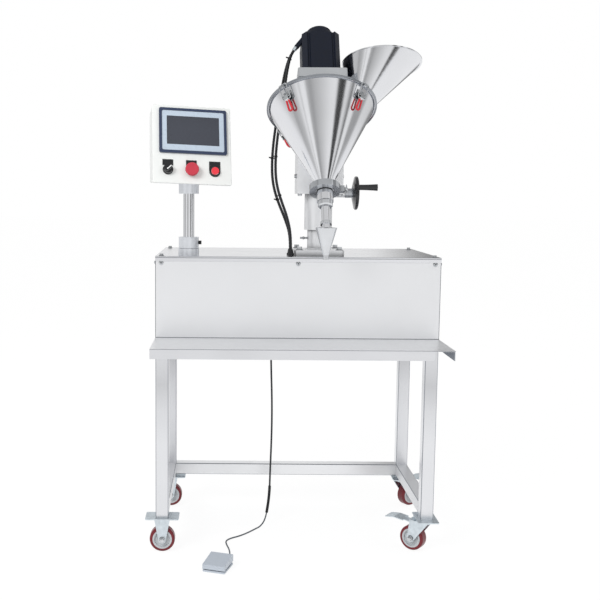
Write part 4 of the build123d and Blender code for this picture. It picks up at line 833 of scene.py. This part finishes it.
@dataclass(frozen=True)
class Fastener:
    """Head and washer sizes of a small bolt or screw, in millimetres."""

    head_radius: float
    head_height: float
    washer_radius: float
    washer_height: float
    domed: bool = False
    chamfer: float = 0.12
    socket: float = 0.4
    rim: float = 0.98
    bevel: tuple[float, float] = (0.96, 0.8)

    def surface(self) -> Surface:
        """Draw the washer and the head round Z, standing on z = 0.

        A domed head follows (r cos a, h sin a) down to its socket; the other kind is a hexagon.

        Returns:
            Vertices and quads.
        """
        r, h, wr, wh = self.head_radius, self.head_height, self.washer_radius, self.washer_height
        top = wh + h
        washer = [(wr, 0), (wr, wh * self.bevel[1]), (wr * self.bevel[0], wh), (0, wh)]
        head = [(r, wh), (r, top - r * self.chamfer), (r * (1 - self.chamfer), top), (0, top)]
        if self.domed:
            hole = r * self.socket
            dome = [(r * math.cos(a), wh + h * math.sin(a)) for a in np.linspace(0, math.pi / 2, 6)]
            head = [p for p in dome if p[0] > hole] + [(hole, top * self.rim), (hole, wh), (0, wh)]
        sides = 20 if self.domed else 6
        return joined([revolved(np.array(washer) * MM), revolved(np.array(head) * MM, sides)])


CABINET_SCREW = Fastener(5.0, 3.2, 7.0, 1.2, True)
LID_BOLT = Fastener(5.4, 5.0, 7.6, 1.6)
HEX_BOLT = Fastener(6.0, 5.0, 7.5, 1.4)
SMALL_HEX = Fastener(4.6, 4.0, 5.6, 1.0)
AXLE_NUT = Fastener(7.0, 5.0, 9.0, 1.2)

# Shares of a unit normal by which faces are told apart
SLIGHTLY, MOSTLY, NEARLY, WHOLLY = 0.15, 0.7, 0.9, 0.97


@dataclass
class Stand:
    """Table, legs, cabinet and their screws."""

    model: CadModel
    screw_inset: float = 17 * MM
    screw_drop: float = 19 * MM
    lid_rows: tuple[float, float] = (-112 * MM, 289 * MM)
    joint_drop: float = 4.2 * MM
    joint_width: float = 1.5 * MM
    joint_height: float = 0.5 * MM

    def build(self) -> None:
        """Finish the sheet metal and add the cabinet's screws, lid bolts and strips of painted shade."""
        model = self.model
        model.dress(SHEET_ALONG, "cabinet_body")
        model.dress(FRONT_SHEET, "cabinet_front")
        model.dress(BLACK_SATIN, "control_gear", "cable_glands")
        tray = (LEDGE_SHEET, EDGE_STEEL, SHADE_STEEL, LIP_SHEET)
        model.dress_faces("table_top", tray, self.tray_faces)
        model.dress_faces("cabinet_lid", (SHEET_LID, EDGE_STEEL), self.front_bend)
        model.dress_faces("table_legs", (LEG_TUBE, EDGE_STEEL), self.bends)
        model.dress_faces("frame_rails", (LONG_RAIL, SIDE_RAIL, EDGE_STEEL), self.rail_faces)
        self.screws()
        self.gap_shade_lines()

    def screws(self) -> None:
        """Set bolts on the lid, and screws below its edge in front and on both sides."""
        low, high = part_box("cabinet_lid")
        front_low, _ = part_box("cabinet_front")
        xs = (low.x + self.screw_inset, high.x - self.screw_inset)
        z = high.z - self.screw_drop
        spots = [Place((x, front_low.y, z), (0, -1, 0)) for x in (xs[0], 0.0, xs[1])]
        sides = ((low.x, -1.0), (high.x, 1.0))
        spots += [Place((x, y, z), (way, 0, 0)) for x, way in sides for y in self.lid_rows]
        bolts = [Place((x, y, high.z), (0, 0, 1)) for x in xs for y in self.lid_rows]
        piece("cabinet_screws", repeated(CABINET_SCREW.surface(), spots), BRIGHT, Body.MACHINE)
        piece("lid_bolts", repeated(LID_BOLT.surface(), bolts), BRIGHT, Body.MACHINE)

    def gap_shade_lines(self) -> None:
        """Draw strips of painted shade on the front: below the lid, at its foot and up both edges."""
        low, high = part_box("cabinet_lid")
        front_low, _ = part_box("cabinet_front")
        lid_z = high.z - self.joint_drop
        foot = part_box("table_top")[1].z + self.joint_width / 2
        edge, y = front_low.x + self.joint_width / 2, front_low.y
        level, upright = (0.0, 0.0, 1.0), (1.0, 0.0, 0.0)
        lines = [
            ((low.x, low.y, lid_z), (-low.x, low.y, lid_z), level),
            ((front_low.x, y, foot), (-front_low.x, y, foot), level),
            ((edge, y, foot), (edge, y, lid_z), upright),
            ((-edge, y, foot), (-edge, y, lid_z), upright),
        ]
        joints = [
            ribbon(np.linspace(start, end, 12), np.array(across), self.joint_width, self.joint_height)
            for start, end, across in lines
        ]
        piece("cabinet_gap_shade", joined(joints), GAP_SHADE_STRIP, Body.MACHINE)

    @staticmethod
    def front_bend(_: np.ndarray, normals: np.ndarray) -> np.ndarray:
        """Give one to the rounded bend between a top face and its front lip, zero elsewhere."""
        return (normals[:, 2] > SLIGHTLY) & (normals[:, 1] < -SLIGHTLY)

    @staticmethod
    def tray_faces(centres: np.ndarray, normals: np.ndarray) -> np.ndarray:
        """Give zero to the top, one to the front bend, two to the inner and under sides, three to the lip."""
        inside = (normals[:, 0] * np.sign(centres[:, 0]) < -MOSTLY) | (normals[:, 2] < -MOSTLY)
        return np.where(normals[:, 1] < -NEARLY, 3, np.where(inside, 2, Stand.front_bend(centres, normals)))

    @staticmethod
    def bends(_: np.ndarray, normals: np.ndarray) -> np.ndarray:
        """Give one to the rounded corners of square tube, which look along none of the axes."""
        return np.abs(normals).max(axis=1) < WHOLLY

    @staticmethod
    def rail_faces(centres: np.ndarray, normals: np.ndarray, side_depth: float = 40 * MM) -> np.ndarray:
        """Give zero to the long rails, one to those at both ends, two to the rounded corners of both."""
        side = np.abs(centres[:, 0]) > np.abs(centres[:, 0]).max() - side_depth
        return np.where(Stand.bends(centres, normals), 2, side)


@dataclass
class Castors:
    """Zinc castor frames with red wheels."""

    model: CadModel
    corners: tuple[str, ...] = ("front_left", "rear_left", "front_right", "rear_right")
    nut_out: float = 22.6 * MM

    def build(self) -> None:
        """Finish the zinc frames and the wheels, and add the axle nuts."""
        model = self.model
        bodies = {"front_right": Body.FRONT_SWIVEL, "rear_right": Body.REAR_SWIVEL}
        model.dress(ZINC, "castor_mounts")
        for corner in bodies:
            model.dress(ZINC, f"{corner}_fork", f"{corner}_brake")
        for corner in self.corners:
            middle, way = model.spot(f"{corner}_roll"), model.axis(f"{corner}_roll")
            hub = (tuple(middle), tuple(way))
            finish = WheelFinish(f"castor wheel, {corner}", TREAD_RED.colour, *hub, TREAD_RED, WEB_GREY)
            model.dress(finish, f"{corner}_wheel")
            ends = [Place(tuple(middle + way * side * self.nut_out), tuple(way * side)) for side in (-1, 1)]
            nuts = repeated(AXLE_NUT.surface(), ends)
            piece(f"{corner}_axle_nuts", nuts, BRIGHT, bodies.get(corner, Body.MACHINE))


@dataclass
class ControlPanel:
    """Control box on its swivel pole, with its screen and switches."""

    model: CadModel
    tube_radius: float = 17 * MM
    film_depth: tuple[float, float] = (0.6 * MM, 2 * MM)
    pointer_length: float = 20 * MM
    pointer_span: tuple[float, float] = (-0.3, 0.55)
    pointer_width: float = 3.2 * MM
    pointer_height: float = 0.6 * MM
    pointer_turn: float = 40.0

    def build(self) -> None:
        """Finish the panel and inlay the selector's pointer."""
        model = self.model
        model.dress(SATIN_COLLAR, "pole_socket")
        collars = model.beyond("panel_swivel", self.tube_radius)
        model.dress_faces("panel_pole", (POLISHED_TUBE, SATIN_COLLAR), collars)
        model.dress(BLACK_SATIN, "pole_screw", "selector_knob", "switch_surrounds")
        model.dress(PANEL_PAINT, "panel_box")
        model.dress(DISPLAY, "screen_glass")
        model.dress(STOP_RED, "estop_button")
        model.dress(START_RED, "start_button")
        model.unmirrored("panel_box", "screen_glass", "screen_bezel", "switch_surrounds")
        model.unmirrored("selector_knob", "estop_button", "start_button")
        outward = -model.axis("estop_press")
        model.dress_faces("screen_bezel", (BEZEL_NAVY, BEZEL_FILM), self.film_faces(outward))
        self.pointer(outward)

    def film_faces(self, outward: np.ndarray) -> Chooser:
        """Make a chooser for the sunk face of the bezel, just below its raised border.

        Args:
            outward: The way the panel looks.

        Returns:
            A function that gives one for the sunk face and zero elsewhere.
        """

        def choose(centres: np.ndarray, normals: np.ndarray) -> np.ndarray:
            """Find faces that look outwards from a set depth below the border."""
            below = (centres @ outward).max() - centres @ outward
            sunk = (below > self.film_depth[0]) & (below < self.film_depth[1])
            return sunk & (normals @ outward > NEARLY)

        return choose

    def pointer(self, outward: np.ndarray) -> None:
        """Lay a white ribbon along the upper half of the selector's bar.

        Args:
            outward: The way the panel looks.
        """
        middle = self.model.spot("selector_turn")
        knob = np.array([v.co for v in self.model.nodes["selector_knob"].data.vertices])
        top = (knob @ outward).max()
        right = np.cross((0, 0, 1), outward)
        right /= np.linalg.norm(right)
        up = np.cross(outward, right)
        turn = math.radians(self.pointer_turn)
        along = right * math.cos(turn) + up * math.sin(turn)
        start = middle + outward * (top - middle @ outward)
        path = start + np.outer(np.linspace(*self.pointer_span, 8) * self.pointer_length, along)
        line = ribbon(path, np.cross(outward, along), self.pointer_width, self.pointer_height)
        piece("selector_pointer", line, POINTER_WHITE, Body.SELECTOR)


# Profile of the wing nut's barrel, from its foot to its top, in millimetres
BARREL_MM = ((0, 0), (5.5, 0), (5.5, 6), (4, 9), (0, 9))


@dataclass
class LiftAndHead:
    """Lift column, handwheel, hopper, motor, nozzle and latches."""

    model: CadModel
    latch_corners: tuple[str, ...] = ("front_left", "front_right", "rear_left", "rear_right")
    ring_inner: float = 155.5 * MM
    hub_radius: float = 20 * MM
    hub_depth: float = 40 * MM
    handle_start: float = 15.5 * MM
    side_bolt: tuple[float, float] = (50 * MM, 52 * MM)
    foot_bolt: tuple[float, float] = (8 * MM, 9 * MM)
    stop_drop: float = 25 * MM
    stop_root: float = 31 * MM
    stop_nut: float = 41 * MM
    stop_shank: tuple[float, float] = (3 * MM, 22 * MM)
    wing_radii: Triple = (2.0 * MM, 3.4 * MM, 7.0 * MM)
    wing_out: float = 6 * MM
    wing_side: float = 8.5 * MM

    def build(self) -> None:
        """Finish the head and add its bolts and wing nut."""
        model = self.model
        for finish, *names in (
            (TURNED, "lift_screw", "nozzle_nut"),
            (POLISHED_TUBE, "nozzle_tube"),
            (FERRULE, "outlet_clamp"),
            (COLUMN_STEEL, "column_base", "lift_sleeve"),
            (SPUN, "guide_funnel"),
            (BRIGHT, "column_bolts", "latch_mounts", "auger_screw"),
            (CONE_SHEET, "hopper", "feed_funnel"),
            (BRACKET_SHEET, "head_bracket"),
            (MILLED, "motor_mount"),
            (ENAMEL, "motor"),
            (PHENOLIC, "handwheel_grip"),
        ):
            model.dress(finish, *names)
        model.dress_faces("hopper_lid", (BRIGHT, RING_STEEL), model.beyond("auger_spin", self.ring_inner))
        self.handwheel()
        for corner in self.latch_corners:
            model.dress(BRIGHT, f"{corner}_latch_bail")
            handle = model.beyond(f"{corner}_latch_open", self.handle_start)
            model.dress_faces(f"{corner}_latch_lever", (BRIGHT, LATCH_RED), handle)
        self.bolts()

    def handwheel(self) -> None:
        """Make the rim and web of the handwheel black and leave its hub and shaft bright."""
        middle, way = self.model.spot("handwheel_turn"), self.model.axis("handwheel_turn")
        far = (np.array(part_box("handwheel")[1]) - middle) @ way

        def choose(centres: np.ndarray, _: np.ndarray) -> np.ndarray:
            """Give one to the hub and the shaft, zero to the rim and the web."""
            out = (centres - middle) @ way
            return (away_from_axis(centres, middle, way) < self.hub_radius) & (out < far - self.hub_depth)

        self.model.dress_faces("handwheel", (PHENOLIC, HUB_STEEL), choose)

    def bolts(self) -> None:
        """Set the bolts of the bracket, the stop bolt of the column and the wing nut of the outlet clamp."""
        low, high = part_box("head_bracket")
        middle = self.model.spot("handwheel_turn")
        y, z = low.y + self.side_bolt[0], low.z + self.side_bolt[1]
        inset, foot_y = self.foot_bolt[0], low.y + self.foot_bolt[1]
        head = [
            Place((low.x, y, z), (-1, 0, 0)),
            Place((high.x, y, z), (1, 0, 0)),
            Place((low.x + inset, foot_y, low.z), (0, 0, -1)),
            Place((high.x - inset, foot_y, low.z), (0, 0, -1)),
        ]
        surface = joined([repeated(HEX_BOLT.surface(), head), *self.wing_nut()])
        piece("head_bolts", surface, BRIGHT, Body.HEAD)
        stop_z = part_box("lift_sleeve")[0].z - self.stop_drop
        radius, length = self.stop_shank
        shank = revolved([(radius, 0), (radius, length), (0, length)], 14)
        stop, nut = (
            Place((middle[0] - out, middle[1], stop_z), (-1, 0, 0)) for out in (self.stop_root, self.stop_nut)
        )
        stop_bolt = joined([stop.move(shank), nut.move(SMALL_HEX.surface())])
        piece("column_stop_bolt", stop_bolt, BRIGHT, Body.MACHINE)

    def wing_nut(self) -> list[Surface]:
        """Draw the wing nut that closes the outlet clamp, on the clamp's right side.

        Returns:
            The surfaces of its barrel and of its two wings.
        """
        low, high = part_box("outlet_clamp")
        tilt = self.model.axis("auger_spin")
        seat = np.array((high.x, (low.y + high.y) / 2, (low.z + high.z) / 2))
        wing = ellipsoid(self.wing_radii)
        parts = [Place(tuple(seat), (1, 0, 0)).move(revolved(np.array(BARREL_MM) * MM))]
        for side in (-self.wing_side, self.wing_side):
            spot = seat + (self.wing_out, 0, 0) + tilt * side
            parts.append(Place(tuple(spot), tuple(tilt)).move(wing))
        return parts


@dataclass
class FootSwitch:
    """Foot switch casting and its hinged treadle."""

    model: CadModel

    def build(self) -> None:
        """Finish both castings."""
        self.model.dress(PEDAL_GREY, "foot_base", "foot_treadle")


@dataclass
class Cord:
    """One cable drawn as a NURBS spline on the control points of its route."""

    name: str
    route_mm: Sequence[Triple]
    radius_mm: float
    finish: Finish
    slot: Slot
    far_end: str = "object"
    stiffness: str = "medium"
    lay: str = "loose"
    wrap_mm: float = 0.0
    wrap_depth: float = 0.14
    segments: int = 14
    plain_steps: int = 12
    wrap_steps: int = 48
    path: np.ndarray = field(init=False, repr=False)

    def centre_line(self) -> np.ndarray:
        """Read the points of the NURBS spline that has the route as its control points.

        Returns:
            Points along the smooth line, in metres.
        """
        curve = bpy.data.curves.new(f"{self.name}_route", "CURVE")
        curve.dimensions = "3D"
        curve.resolution_u = self.wrap_steps if self.wrap_mm else self.plain_steps
        spline = curve.splines.new("NURBS")
        spline.points.add(len(self.route_mm) - 1)
        for point, place in zip(spline.points, self.route_mm):
            point.co = (*(np.array(place) * MM), 1.0)
        spline.order_u = 3
        spline.use_endpoint_u = True
        holder = bpy.data.objects.new(f"{self.name}_route", curve)
        bpy.context.scene.collection.objects.link(holder)
        mesh = bpy.data.meshes.new_from_object(holder)
        points = np.array([v.co for v in mesh.vertices], float)
        bpy.data.objects.remove(holder)
        bpy.data.curves.remove(curve)
        bpy.data.meshes.remove(mesh)
        return points

    def tube(self, body: Body | None) -> bpy.types.Object:
        """Make the cable's mesh tube with a UV map along its length.

        A spiral wrap dips the radius along a helix: r(s, a) = R (1 - d max(0, cos 2 pi (s / pitch + a))^3).

        Args:
            body: The body it rides on, or None to leave it on no body.

        Returns:
            The tube.
        """
        path = self.path = self.centre_line()
        segments = self.segments
        steps = np.linalg.norm(np.diff(path, axis=0), axis=1)
        far = np.concatenate([[0.0], np.cumsum(steps)])
        along = far / far[-1]
        radius = np.full((len(path), segments), self.radius_mm * MM)
        if self.wrap_mm:
            turns = far[:, None] / (self.wrap_mm * MM) + np.arange(segments)[None] / segments
            radius *= 1 - self.wrap_depth * np.clip(np.cos(math.tau * turns), 0, 1) ** 3
        made = piece(self.name + "_tube", swept(path, radius, segments), self.finish, body)
        loops = np.zeros(len(made.data.loops), np.int32)
        made.data.loops.foreach_get("vertex_index", loops)
        uv = np.stack([(loops % segments) / segments, along[loops // segments]], axis=1)
        layer = made.data.uv_layers.new(name="length")
        layer.data.foreach_set("uv", uv.astype(np.float32).ravel())
        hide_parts(self.name)
        return made


# Control points of the cables in millimetres, from the end that the object holds
POWER_ROUTE = (
    *((-3.78, 37.02, 1490.35), (-19.21, 37.02, 1471.96), (-28, 58, 1430), (-34, 86, 1376)),
    *((-41, 105, 1320), (-48, 113, 1264), (-55, 105, 1210), (-59, 87, 1157), (-59, 60, 1108)),
    *((-53, 24, 1067), (-42, -14, 1030), (-28, -44, 988), (-18, -56, 938), (-18, -56, 897)),
)
SIGNAL_ROUTE = (
    *((-3.78, 49.02, 1490.35), (-19.21, 49.02, 1471.96), (-33, 71, 1430), (-42, 98, 1376)),
    *((-51, 116, 1320), (-58, 124, 1264), (-65, 117, 1210), (-69, 100, 1157), (-69, 75, 1108)),
    *((-63, 42, 1067), (-51, 8, 1028), (-34, -20, 986), (-18, -32, 938), (-18, -32, 897)),
)
LEAD_ROUTE = (
    *((-63, 150, 638), (-63, 150, 572), (-61, 150, 494), (-58, 149, 414)),
    *((-57, 148.5, 334), (-58, 149.5, 260), (-60, 150, 190), (-62, 144, 120)),
)
SPLICE_ROUTE = ((-62, 144, 120), (-63.2, 140.4, 78), (-72, 122, 38))
PEDAL_ROUTE = (
    *((-72, 122, 38), (-76.4, 112.8, 18), (-92, 92, 3), (-110, 68, 2.6), (-134, 34, 2.6)),
    *((-161, 4, 2.6), (-188, -15, 2.6), (-203, -38, 2.6), (-200, -68, 2.6), (-193, -100, 2.6)),
    *((-190, -130, 2.6), (-190.5, -158, 2.6), (-194.5, -184.4, 2.6), (-202.1, -207.2, 2.6)),
)
# Profile of the collars where the cables leave the motor, from the root to the end
COLLAR_MM = ((0, 0), (6.2, 0), (6.2, 7), (5.6, 8), (5.6, 12), (0, 12))


@dataclass
class Wiring:
    """Motor cables, foot switch lead and their ties."""

    tie_heights: tuple[float, ...] = (1.458, 1.17, 1.048)
    tie_radius: float = 5.0 * MM
    strap: tuple[float, float] = (3.6 * MM, 1.3 * MM)
    tail: tuple[float, float] = (4.0 * MM, 2.4 * MM)
    tail_length: float = 6 * MM
    tail_way: Triple = (-0.88, -0.42, 0.22)
    collar_way: Triple = (-0.643, 0.0, -0.766)
    motor_cable_mm: float = 4.2
    wrap_mm: float = 9.0

    def build(self) -> None:
        """Draw the cables, leave the motor's between cabinet and head on no body with their place baked in,
        and tie them.
        """
        wrapped = (self.motor_cable_mm, WRAP_BLACK, Slot.BLACK_CABLE)
        power = Cord("motor_power_cable", POWER_ROUTE, *wrapped, wrap_mm=self.wrap_mm)
        signal = Cord("motor_signal_cable", SIGNAL_ROUTE, *wrapped, wrap_mm=self.wrap_mm)
        bent = [power.tube(None), signal.tube(None), self.ties(power.path, signal.path)]
        for made in bent:
            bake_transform(made)
        spots = [Place(tuple(cord.path[0]), self.collar_way) for cord in (power, signal)]
        collars = repeated(revolved(np.array(COLLAR_MM) * MM), spots)
        piece("motor_cable_collars", collars, ZINC, Body.HEAD)
        for cord in (
            Cord("hanging_lead", LEAD_ROUTE, 3.0, JACKET_BLACK, Slot.BLACK_CABLE, lay="hanging"),
            Cord("lead_splice", SPLICE_ROUTE, 4.5, SLEEVE_BLACK, Slot.BLACK_CABLE, lay="hanging"),
            Cord("pedal_lead", PEDAL_ROUTE, 2.25, JACKET_GREY, Slot.GREY_CABLE),
        ):
            cord.tube(Body.MACHINE)

    def ties(self, power: np.ndarray, signal: np.ndarray) -> bpy.types.Object:
        """Strap the two motor cables together at a few heights, each strap with a cut tail.

        A strap is a flat band round two circles: L(a) = m + (h sign(cos a) + r cos a) u + r sin a v.

        Args:
            power: Centre line of the first cable.
            signal: Centre line of the second cable.

        Returns:
            The mesh of all straps.
        """
        parts = []
        turn = np.linspace(0, math.tau, 33)
        for height in self.tie_heights:
            near = int(np.abs(power[:, 2] - height).argmin())
            other = signal[np.abs(signal[:, 2] - height).argmin()]
            along = power[near + 1] - power[near - 1]
            along /= np.linalg.norm(along)
            gap = power[near] - other
            gap -= along * (gap @ along)
            half = np.linalg.norm(gap) / 2
            u = gap / (2 * half)
            v = np.cross(along, u)
            out = half * np.sign(np.cos(turn)) + self.tie_radius * np.cos(turn)
            loop = (power[near] + other) / 2 + np.outer(out, u) + np.outer(self.tie_radius * np.sin(turn), v)
            parts.append(ribbon(loop, along, *self.strap))
            tail = loop[loop[:, 0].argmin()] + np.outer(np.linspace(0, self.tail_length, 5), self.tail_way)
            parts.append(ribbon(tail, along, *self.tail))
        return piece("cable_ties", joined(parts), TIE_BLACK, None)


# Brightness of the studio wall by bearing, once round from straight behind the object: (share of a full
# turn, brightness) pairs, in which 0.5 is the way the camera stands
STRIPES = (
    *((0.0, 0.85), (0.03, 0.85), (0.045, 0.22), (0.1, 0.3), (0.13, 0.7), (0.2, 0.8), (0.222, 0.4)),
    *((0.275, 0.42), (0.29, 0.95), (0.316, 0.95), (0.328, 0.1), (0.354, 0.85), (0.37, 0.85)),
    *((0.378, 0.06), (0.412, 0.06), (0.425, 0.95), (0.46, 0.88), (0.52, 0.66), (0.551, 0.55)),
    *((0.575, 0.4), (0.596, 0.5), (0.605, 0.98), (0.632, 0.98), (0.638, 0.5), (0.645, 0.98)),
    *((0.672, 0.6), (0.715, 0.42), (0.725, 0.58), (0.85, 0.7), (0.9, 0.52), (0.955, 0.5), (0.97, 0.85)),
)
# Soft boxes: name, spot, edge length and power in watts
SOFT_BOXES = (
    ("key soft box", (-1.9, -2.2, 2.4), 1.2, 44.0),
    ("side soft box", (2.4, -1.2, 2.2), 1.4, 9.0),
)


@dataclass
class Studio:
    """White studio: floor, reflected wall, soft lights and the camera."""

    wall_radius: float = 6.0
    wall_height: float = 7.0
    wall_foot: tuple[float, ...] = (0.98, 0.98, 0.99, 1)
    stripe_foot: tuple[float, float] = (0.25, 0.7)
    floor_half: float = 40.0
    floor_tone: tuple[float, ...] = (0.86, 0.86, 0.86, 1)
    floor_glow: float = 1.075
    floor_glow_share: float = 0.84
    room_light: float = 0.68
    light_aim: Triple = (0.0, 0.0, 0.9)
    sensor_mm: float = 36.0
    lens_mm: float = 56.73
    view_range: float = 100.0
    camera_spot: Triple = (-0.1984, -2.8286, 1.0569)
    pitch: float = 6.44
    roll: float = 0.41
    shift: tuple[float, float] = (0.1187, 0.0012)

    def build(self) -> None:
        """Set up the whole stage."""
        self.floor()
        self.wall()
        self.world()
        self.lights()
        self.camera()
        bpy.context.scene.view_settings.view_transform = "Standard"

    def floor(self) -> None:
        """Lay a pale floor that the camera sees as paper white with a faint contact shadow."""
        half = self.floor_half
        points = np.array([(-half, -half, 0), (half, -half, 0), (half, half, 0), (-half, half, 0)], float)
        material = bpy.data.materials.new("studio floor, white paper")
        graph = NodeGraph.of(material)
        paper = graph.add("BsdfDiffuse", {"Color": self.floor_tone})
        glow = graph.add("Emission", {"Color": (1, 1, 1, 1), "Strength": self.floor_glow})
        seen = graph.add("LightPath")
        rays = {0: (seen, "Is Camera Ray"), 1: (seen, "Is Glossy Ray")}
        direct = graph.add("Math", rays, operation="MAXIMUM")
        share = graph.add("MapRange", {"Value": (direct, 0), "To Max": self.floor_glow_share})
        mixed = graph.add("MixShader", {"Fac": (share, 0), 1: (paper, 0), 2: (glow, 0)})
        graph.add("OutputMaterial", {"Surface": (mixed, 0)})
        made = mesh_object("studio_floor", (points, np.array([[0, 1, 2, 3]])), material)

    def wall(self) -> None:
        """Stand a round wall of bright and dark stripes that only reflections see."""
        round_wall = revolved([(self.wall_radius, 0.0), (self.wall_radius, self.wall_height)], 96)
        material = bpy.data.materials.new("studio wall, soft boxes and flags")
        graph = NodeGraph.of(material)
        parts = graph.add("SeparateXYZ", {0: (graph.add("TexCoord"), "Object")})
        bearing = graph.add("Math", {0: (parts, "X"), 1: (parts, "Y")}, operation="ARCTAN2")
        share = graph.add("MapRange", between((bearing, 0), -math.pi, math.pi))
        turned = graph.add("Math", {0: (share, 0), 1: 0.5}, operation="ADD")
        wrapped = graph.add("Math", {0: (turned, 0)}, operation="FRACT")
        stripes = graph.add("ValToRGB", {"Fac": (wrapped, 0)})
        fill_stops(stripes, STRIPES)
        climb = between((parts, "Z"), *self.stripe_foot)
        rise = graph.add("MapRange", climb, interpolation_type="SMOOTHSTEP")
        mix = {"Fac": (rise, 0), "Color1": self.wall_foot, "Color2": (stripes, 0)}
        glow = graph.add("Emission", {"Color": (graph.add("MixRGB", mix), 0), "Strength": 1.0})
        graph.add("OutputMaterial", {"Surface": (glow, 0)})
        made = mesh_object("studio_wall", round_wall, material)
        made.visible_camera = False
        made.visible_diffuse = False
        made.visible_shadow = False
        made.visible_transmission = False

    def world(self) -> None:
        """Fill the room with even light that the camera sees as white."""
        world = bpy.data.worlds.new("studio room")
        bpy.context.scene.world = world
        graph = NodeGraph.of(world)
        seen = graph.add("LightPath")
        level = graph.add("MapRange", {"Value": (seen, "Is Camera Ray"), "To Min": self.room_light})
        glow = graph.add("Background", {"Color": (1, 1, 1, 1), "Strength": (level, 0)})
        graph.add("OutputWorld", {"Surface": (glow, 0)})

    def lights(self) -> None:
        """Hang two soft boxes: a strong one above on the left and a weaker one on the right."""
        for name, spot, size, power in SOFT_BOXES:
            lamp = bpy.data.lights.new(name, "AREA")
            lamp.shape = "SQUARE"
            lamp.size = size
            lamp.energy = power
            holder = bpy.data.objects.new(name, lamp)
            holder.location = spot
            holder.visible_glossy = False
            aim = Vector(self.light_aim) - Vector(spot)
            holder.rotation_euler = aim.to_track_quat("-Z", "Y").to_euler()
            bpy.context.scene.collection.objects.link(holder)

    def camera(self) -> None:
        """Stand the camera where the photograph was taken."""
        data = bpy.data.cameras.new("studio camera")
        data.sensor_width = self.sensor_mm
        data.lens = self.lens_mm
        data.shift_x, data.shift_y = self.shift
        data.clip_end = self.view_range
        holder = bpy.data.objects.new("studio camera", data)
        tilt = Matrix.Rotation(math.radians(90 - self.pitch), 4, "X")
        roll = Matrix.Rotation(math.radians(self.roll), 4, "Z")
        holder.matrix_world = Matrix.Translation(self.camera_spot) @ tilt @ roll
        bpy.context.scene.collection.objects.link(holder)
        bpy.context.scene.camera = holder


def main() -> None:
    """Load the frame, dress it and set the stage."""
    logging.basicConfig(level=logging.INFO, format="%(name)s: %(message)s")
    model = CadModel.from_frame(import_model())
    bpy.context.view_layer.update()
    on_model = (Stand, Castors, ControlPanel, LiftAndHead, FootSwitch)
    for part in [kind(model) for kind in on_model] + [Wiring()]:
        part.build()
        log.info("dressed %s", type(part).__name__)
    Studio().build()


if __name__ == "__main__":
    main()
